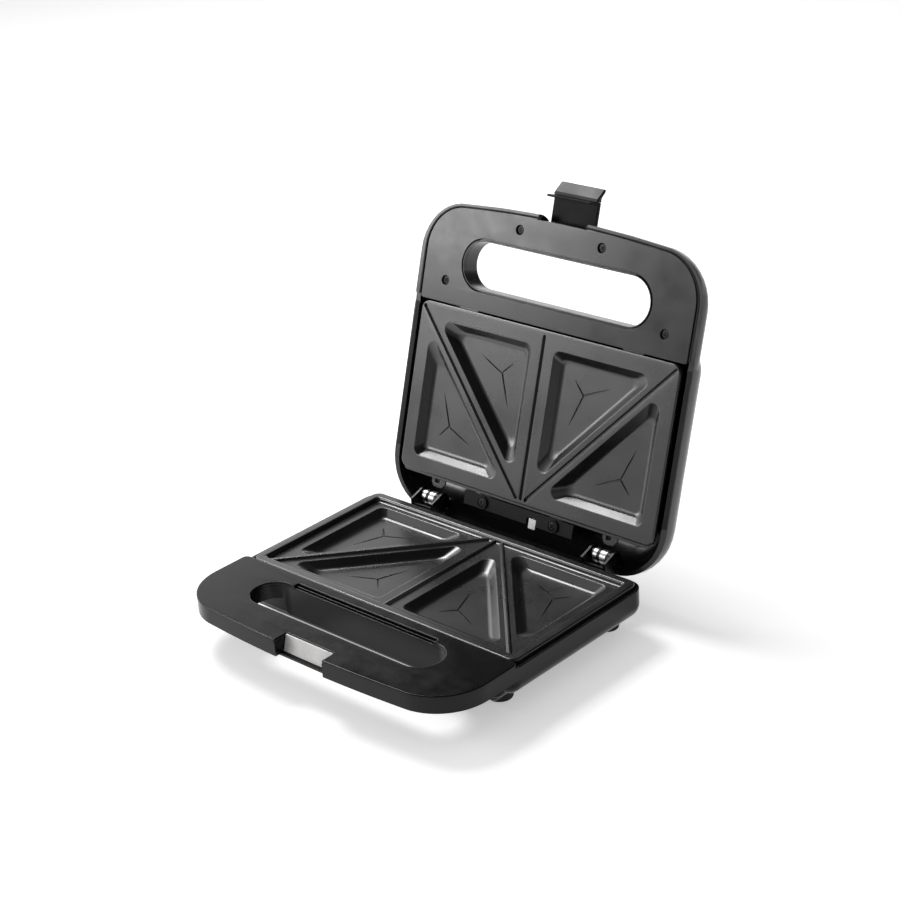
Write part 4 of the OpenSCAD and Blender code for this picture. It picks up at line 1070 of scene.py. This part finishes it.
# Each group: piece name, body, node replaced, the wires' corner points
WIRE_GROUPS = (
    ("base_leads", "base", "base_wiring",
     (((-10, 31.2, -22.2), (-10, 38, -22.2), (-97, 38, -22.2), (-97, 38, -14.2),
       (-97, 30, -14.2), (-75.1, 30, -14.2)),
      ((-10, 14.8, -22.2), (-10, 6, -22.2), (-97, 6, -22.2), (-97, -30, -22.2),
       (-97, -30, -14.2), (-75.1, -30, -14.2)))),
    ("lamp_leads", "lid", "lid_wiring",
     tuple(((side * 14, 45.2, 18.8), (side * 14, 50, 18.8), (6 + side * 2, 61.75, 16.8),
            (6 + side * 2, 61.75, 5)) for side in (-1, 1))),
)

PLACERS = {"base": base_point, "lid": lid_point}


def plus_loop(reach, half):
    """Outline of a cross recess, clockwise."""
    loop = []
    for quarter in range(4):
        turn = Matrix.Rotation(math.radians(90 * quarter), 2)
        loop += [tuple(turn @ Vector(p)) for p in ((reach, -half), (reach, half), (half, half))]
    return loop[::-1]


def screw_mesh(s, shank):
    """One screw: domed head with a cross recess, its shank along +Z."""
    r, t = s.head_r, s.head_t
    side = ((r - 0.55, 0), (r - 0.2, 0.08), (r, 0.35), (r, t), (s.shank_r, t),
            (s.shank_r, t + shank - 1), (0.3, t + shank))
    skin = Skin()
    first, last = skin.loft([(circle(0, 0, out, 36), z) for out, z in side])
    mouth, foot = skin.loft([(plus_loop(s.cross, s.cross_w / 2), 0),
                             (plus_loop(s.cross * 0.7, s.cross_w * 0.35), 0.7)])
    skin.cap(first, mouth)
    skin.cap(foot)
    skin.cap(last)
    mesh = skin.mesh("screw", lambda x, y, z: Vector((x, y, z)) * MM)
    with editing(mesh) as bm:
        smooth_faces(bm)
    return mesh


def new_tree(name, inputs):
    """Node tree with a geometry input and output and the named inputs.

    Gives the tree, the inputs' ids, the inputs' sockets and the output node."""
    tree = bpy.data.node_groups.new(name, "GeometryNodeTree")
    tree.interface.new_socket("Geometry", in_out="INPUT", socket_type="NodeSocketGeometry")
    tree.interface.new_socket("Geometry", in_out="OUTPUT", socket_type="NodeSocketGeometry")
    ids = {}
    for title, kind in inputs.items():
        socket = tree.interface.new_socket(title, in_out="INPUT", socket_type=kind)
        ids[title] = socket.identifier
    return tree, ids, add_node(tree, "NodeGroupInput"), tree.nodes.new("NodeGroupOutput")


def end_tree(tree, source, out, geometry):
    """Makes the result real and gives it its material."""
    real = add_node(tree, "GeometryNodeRealizeInstances", {"Geometry": geometry})
    done = add_node(tree, "GeometryNodeSetMaterial", {
        "Geometry": real["Geometry"], "Material": source["Finish"]})
    feed(tree, out, {"Geometry": done["Geometry"]})


def screw_tree():
    """Puts a screw on every point, along the point's axis, each turned at random."""
    tree, ids, source, out = new_tree("screws_on_points", {
        "Screw": "NodeSocketObject", "Finish": "NodeSocketMaterial", "Seed": "NodeSocketInt"})
    screw = add_node(tree, "GeometryNodeObjectInfo", {"Object": source["Screw"]})
    axis = add_node(tree, "GeometryNodeInputNamedAttribute", {"Name": "way"},
                    data_type="FLOAT_VECTOR")
    align = add_node(tree, "FunctionNodeAlignRotationToVector",
                     {"Vector": axis["Attribute"]}, axis="Z")
    turn = add_node(tree, "FunctionNodeRandomValue",
                    {"Max": math.tau, "Seed": source["Seed"]}, data_type="FLOAT")
    spin = add_node(tree, "FunctionNodeAxisAngleToRotation",
                    {"Axis": (0, 0, 1), "Angle": turn["Value"]})
    both = add_node(tree, "FunctionNodeRotateRotation", {
        "Rotation": align["Rotation"], "Rotate By": spin["Rotation"]}, rotation_space="LOCAL")
    place = add_node(tree, "GeometryNodeInstanceOnPoints", {
        "Points": source["Geometry"], "Instance": screw["Geometry"],
        "Rotation": both["Rotation"]})
    end_tree(tree, source, out, place["Instances"])
    return tree, ids


def wire_tree():
    """Lays a round sleeve along every path, with rounded bends."""
    tree, ids, source, out = new_tree("sleeves_on_paths", {
        "Radius": "NodeSocketFloat", "Bend": "NodeSocketFloat", "Finish": "NodeSocketMaterial"})
    path = add_node(tree, "GeometryNodeMeshToCurve", {"Mesh": source["Geometry"]})
    bend = add_node(tree, "GeometryNodeFilletCurve", {
        "Curve": path["Curve"], "Radius": source["Bend"], "Count": 7,
        "Limit Radius": True}, mode="POLY")
    ring = add_node(tree, "GeometryNodeCurvePrimitiveCircle", {
        "Radius": source["Radius"], "Resolution": 16})
    sleeve = add_node(tree, "GeometryNodeCurveToMesh", {
        "Curve": bend["Curve"], "Profile Curve": ring["Curve"], "Fill Caps": True})
    end_tree(tree, source, out, sleeve["Mesh"])
    return tree, ids


def grown(name, mesh, tree, values):
    """Runs a node tree on a mesh and gives the finished, plain object."""
    seed = linked_object(name + "_seed", mesh)
    modifier = seed.modifiers.new("nodes", "NODES")
    modifier.node_group = tree
    for identifier, value in values.items():
        modifier[identifier] = value
    bpy.context.view_layer.update()
    depsgraph = bpy.context.evaluated_depsgraph_get()
    made = bpy.data.meshes.new_from_object(seed.evaluated_get(depsgraph))
    bpy.data.objects.remove(seed)
    return linked_object(name, made)


class MakeScrews(bpy.types.Operator):
    """Sets every group of screws on its points."""

    bl_idname = "toaster.screws"
    bl_label = "Screws"

    def execute(self, context):
        s = in_millimetres(context.scene.toaster_fasteners)
        tree, ids = screw_tree()
        for name, body, node, shank, way, places in SCREW_GROUPS:
            at = PLACERS[body]
            mesh = bpy.data.meshes.new(name)
            mesh.from_pydata([at(*p) for p in places], [], [])
            ways = mesh.attributes.new("way", "FLOAT_VECTOR", "POINT")
            for value in ways.data:
                value.vector = (at(*way) - at(0, 0, 0)).normalized()
            screw = linked_object("screw_model", screw_mesh(s, shank))
            obj = grown(name, mesh, tree, {
                ids["Screw"]: screw, ids["Finish"]: MATERIALS[SLOTS[node]],
                ids["Seed"]: context.scene.toaster_fasteners.turn_seed})
            bpy.data.objects.remove(screw)
            finish_piece(obj, SLOTS[node], body, node, finish=SCREW_FINISH.get(name))
        return {"FINISHED"}


class MakeWires(bpy.types.Operator):
    """Lays the leads inside the base and the lid."""

    bl_idname = "toaster.wires"
    bl_label = "Wires"

    def execute(self, context):
        shape = context.scene.toaster_fasteners
        tree, ids = wire_tree()
        for name, body, node, wires in WIRE_GROUPS:
            points, edges = [], []
            for wire in wires:
                edges += [(len(points) + i, len(points) + i + 1) for i in range(len(wire) - 1)]
                points += [PLACERS[body](*p) for p in wire]
            mesh = bpy.data.meshes.new(name)
            mesh.from_pydata(points, edges, [])
            obj = grown(name, mesh, tree, {
                ids["Radius"]: shape.wire_r, ids["Bend"]: shape.wire_bend,
                ids["Finish"]: MATERIALS[SLOTS[node]]})
            finish_piece(obj, SLOTS[node], body, node)
        return {"FINISHED"}


# ---- housings and steel


class MakeHousings(bpy.types.Operator):
    """Refines the two housings."""

    bl_idname = "toaster.housings"
    bl_label = "Housings"

    def execute(self, context):
        refined("lower_shell", "base")
        refined("lid_shell", "lid")
        return {"FINISHED"}


class MakeHinges(bpy.types.Operator):
    """Refines the hinges, the strike plate and the wire cover."""

    bl_idname = "toaster.hinges"
    bl_label = "Hinges and small steel"

    def execute(self, context):
        for side in ("left", "right"):
            for kind, body in (("bracket_", "base"), ("pin_", "base"), ("leaf_", "lid")):
                refined("hinge_" + kind + side, body, 0.3, finish="black_steel")
        # Bright bands on the knuckles are painted highlights
        make_painted_glint_bands()
        make_lugs()
        refined("strike_plate", "base", 0.15)
        refined("wire_cover", "lid", 0.3)
        refined("wire_clip", "lid", 0.15)
        return {"FINISHED"}


def make_painted_glint_bands():
    """Painted highlights: two bright bands on each black hinge knuckle, standing in for its glints."""
    skin = Skin()

    def place(y, z, x):
        return lid_across(KNUCKLE_Y + y, z, x)

    for middle in (-HINGE_X, HINGE_X):
        for x0, x1 in ((middle - 6.0, middle - 2.6), (middle - 0.6, middle + 4.4)):
            band = [(4.2, x0), (4.55, x0 + 0.25), (4.55, x1 - 0.25), (4.2, x1)]
            turned(skin, band, 0, 0, 36)
    # Bright zinc on the black knuckle is painted highlight, not a separate part
    skin.make("hinge_rolls", place, "bright_steel", "lid", finish="screw_zinc")


def make_lugs():
    """Cast lugs with an eye that hang from the upper plate's rear edge over each hinge."""
    corners = ((-6.5, 57), (5.5, 57), (5.5, 62), (2.5, 65.2), (-4.5, 65.2), (-6.5, 62))
    skin = Skin()
    for middle in (-HINGE_X, HINGE_X):
        loop = rounded([(middle + x, y) for x, y in corners], [0.3, 0.3, 1.5, 1, 1, 1.5], 4)
        eye = oblong(middle - 3.6, middle + 0.2, 58.8, 62.2, 0.8, 4)
        slab(skin, loop, [eye[::-1]], 4.2, 5.4, 0.3)
    skin.make("hinge_lugs", lid_point, "coated_plate", "lid")


class MakeLenses(bpy.types.Operator):
    """Makes the two domed indicator lenses on the lid's outside and rounds the cord inlet."""

    bl_idname = "toaster.lenses"
    bl_label = "Lenses and cord inlet"

    def execute(self, context):
        dome = ((3.2, 22.0), (3.8, 22.3), (3.8, 24.9), (3.6, 25.2), (3.0, 25.4), (2.0, 25.52),
                (1.0, 25.57), (0.2, 25.6))
        lens_x, lens_y = 14, 40
        for node, x in (("power_lens", -lens_x), ("ready_lens", lens_x)):
            skin = Skin()
            turned(skin, dome, x, lens_y)
            skin.make(node + "_dome", lid_point, SLOTS[node], "lid", node)
        refined("cord_bushing", "base", 0.35)
        return {"FINISHED"}


class MakeFeet(bpy.types.Operator):
    """Makes the four rubber feet with rounded edges and a hollow sole."""

    bl_idname = "toaster.feet"
    bl_label = "Feet"

    def execute(self, context):
        for side in ("front_left", "front_right", "rear_left", "rear_right"):
            low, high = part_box("foot_" + side)
            middle = (low + high) / 2
            r = (high.x - low.x) / 2 / MM
            tall = (high.z - low.z) / MM
            skin = Skin()
            turned(skin, [(r - 3.4, 0.9), (r - 2.4, 0.8), (r - 2.0, 0.1), (r - 1.6, 0),
                          (r - 0.9, 0), (r - 0.35, 0.25), (r - 0.05, 0.9), (r, 1.4),
                          (r, tall - 0.3), (r - 0.3, tall)], 0, 0)

            def place(x, y, z, at=middle, foot=low.z):
                return Vector((at.x + x * MM, at.y + y * MM, foot + z * MM))

            skin.make("foot_moulded_" + side, place, "foot_rubber", "base", "foot_" + side)
        return {"FINISHED"}


# ---- operators


class MakeStage(bpy.types.Operator):
    """Makes the floor, the lights, the pale surroundings and the camera."""

    bl_idname = "toaster.make_stage"
    bl_label = "Make the stage"

    def execute(self, context):
        context.scene.view_settings.view_transform = "Standard"
        make_camera(context.scene.toaster_stage)
        make_floor()
        make_surroundings(context.scene.toaster_stage.ambient)
        make_lights()
        return {"FINISHED"}


def make_camera(stage):
    """Camera at the stage's angles, looking at its aim point."""
    a, e, r = stage.azimuth, stage.elevation, stage.roll
    back = Vector((math.sin(a) * math.cos(e), -math.cos(a) * math.cos(e), math.sin(e)))
    right = Vector((math.cos(a), math.sin(a), 0))
    up = back.cross(right)
    side = right * math.cos(r) + up * math.sin(r)
    top = up * math.cos(r) - right * math.sin(r)
    data = bpy.data.cameras.new("camera")
    data.sensor_width = 36
    data.lens = stage.focal_px / FRAME_PX * data.sensor_width
    data.clip_end = 20
    camera = linked_object("camera", data)
    aim = Vector((stage.aim_x, PLATE_MID_Y, RIM_Z + stage.aim_z))
    place = aim + back * stage.distance
    turn = Matrix((side, top, back)).transposed().to_4x4()
    camera.matrix_world = Matrix.Translation(place) @ turn
    bpy.context.scene.camera = camera


def seen_by_eye(tree):
    """One for camera rays and for what gloss and clear stuff show, nought for soft light."""
    path = add_node(tree, "ShaderNodeLightPath")
    mirrored_ray = add_math(tree, "MAXIMUM", path["Is Glossy Ray"], path["Is Transmission Ray"])
    return add_math(tree, "MAXIMUM", path["Is Camera Ray"], mirrored_ray)


def make_floor():
    """Large pale floor at the height that the feet stand on.

    Its even glow casts no light, so that it reads as white paper."""
    reach = 6.0
    mat, tree, shader, coords = start_material("floor_paper")
    feed(tree, shader, {
        "Base Color": add_tint(tree, add_noise(tree, coords, 3, 2.0), (1, 1, 1), 0.93, 0.96),
        "Roughness": 0.9, "Specular IOR Level": 0.1,
        "Emission Color": (1, 1, 1, 1),
        "Emission Strength": add_math(tree, "MULTIPLY", seen_by_eye(tree), 0.4)})
    corners = [(-reach, -reach, 0), (reach, -reach, 0), (reach, reach, 0), (-reach, reach, 0)]
    mesh = bpy.data.meshes.new("floor")
    mesh.from_pydata(corners, [], [(0, 1, 2, 3)])
    mesh.materials.append(mat)
    floor = linked_object("floor", mesh)


def make_surroundings(ambient):
    """Pale walls under a dark slanted ceiling, brighter at the back left.

    Gloss mirrors them, the camera sees plain white, and soft light is even."""
    slant, back_left, front_right = (0.239, 0.256, 1.0), (-0.7, 0.7, 0.0), (0.7, -0.7, 0.0)
    world = bpy.data.worlds.new("surroundings")
    bpy.context.scene.world = world
    world.use_nodes = True
    tree = world.node_tree
    tree.nodes.clear()
    heading = add_node(tree, "ShaderNodeTexCoord")["Generated"]
    wall = add_range(tree, add_dot(tree, heading, slant), 1.0, 0.01, 0.425, 0.495)
    light_side = add_range(tree, add_dot(tree, heading, back_left), 0.95, 2.2, 0.0, 0.5)
    dim_side = add_range(tree, add_dot(tree, heading, front_right), 1.0, 0.15, 0.2, 0.8)
    sides = add_math(tree, "MULTIPLY", light_side, dim_side)
    camera = add_node(tree, "ShaderNodeLightPath")["Is Camera Ray"]
    room = add_math(tree, "MAXIMUM", add_math(tree, "MULTIPLY", wall, sides), camera)
    soft = add_node(tree, "ShaderNodeBackground", {"Strength": ambient})
    seen = add_node(tree, "ShaderNodeBackground", {"Strength": room})
    mix = add_node(tree, "ShaderNodeMixShader", {"Fac": seen_by_eye(tree), 1: soft[0], 2: seen[0]})
    add_node(tree, "ShaderNodeOutputWorld", {"Surface": mix[0]})


def area_light(name, place, aim, size, power):
    """Soft box that points at aim."""
    data = bpy.data.lights.new(name, "AREA")
    data.shape = "RECTANGLE"
    data.size, data.size_y = size
    data.energy = power
    lamp = linked_object(name, data)
    lamp.location = place
    lamp.rotation_mode = "QUATERNION"
    lamp.rotation_quaternion = (Vector(place) - Vector(aim)).to_track_quat("Z", "Y")


def make_lights():
    """A small key high on the left and a lower fill from the front left."""
    aim = (0, 0, 0.1)
    area_light("key_high_left", (-1.04, 0.3, 1.36), aim, (0.62, 0.62), 18)
    area_light("fill_front_left", (-1.36, -1.12, 0.67), aim, (0.7, 0.6), 10)


class DressNodes(bpy.types.Operator):
    """Makes the materials and gives them to the carried-over parts."""

    bl_idname = "toaster.dress_nodes"
    bl_label = "Finish the parts"

    def execute(self, context):
        make_materials(context.scene.toaster_finish)
        for node, obj in frame["nodes"].items():
            give_material(obj.data, SLOTS[node])
        return {"FINISHED"}


class ToasterPanel(bpy.types.Panel):
    """Lists the pieces and their settings in the sidebar."""

    bl_idname = "VIEW3D_PT_toaster"
    bl_label = "Sandwich toaster"
    bl_space_type = "VIEW_3D"
    bl_region_type = "UI"
    bl_category = "Toaster"

    def draw(self, context):
        for operator in OPERATORS:
            self.layout.operator(operator.bl_idname)
        for group in (getattr(context.scene, name) for name in SETTINGS):
            for name in group.bl_rna.properties.keys():
                if name not in ("rna_type", "name"):
                    self.layout.prop(group, name)


OPERATORS = (MakeStage, DressNodes, MakeHandlePanel, MakeLidFrame, MakeLowerPlate,
             MakeUpperPlate, MakeLatch, MakeHousings, MakeHinges, MakeScrews, MakeWires,
             MakeLenses, MakeFeet)
SETTINGS = {
    "toaster_finish": ToasterFinish,
    "toaster_stage": ToasterStage,
    "toaster_handles": HandleShape,
    "toaster_plates": PlateShape,
    "toaster_latch": LatchShape,
    "toaster_fasteners": FastenerShape,
}


def register():
    """Registers the settings, the operators and the panel."""
    for name, group in SETTINGS.items():
        bpy.utils.register_class(group)
        setattr(bpy.types.Scene, name, bpy.props.PointerProperty(type=group))
    for cls in (*OPERATORS, ToasterPanel):
        bpy.utils.register_class(cls)


def unregister():
    """Takes everything that register added back out."""
    for cls in reversed((*OPERATORS, ToasterPanel)):
        bpy.utils.unregister_class(cls)
    for name, group in SETTINGS.items():
        delattr(bpy.types.Scene, name)
        bpy.utils.unregister_class(group)


def main():
    """Builds every piece in order."""
    register()
    for operator in OPERATORS:
        area, name = operator.bl_idname.split(".")
        getattr(getattr(bpy.ops, area), name)()


if __name__ == "__main__":
    main()
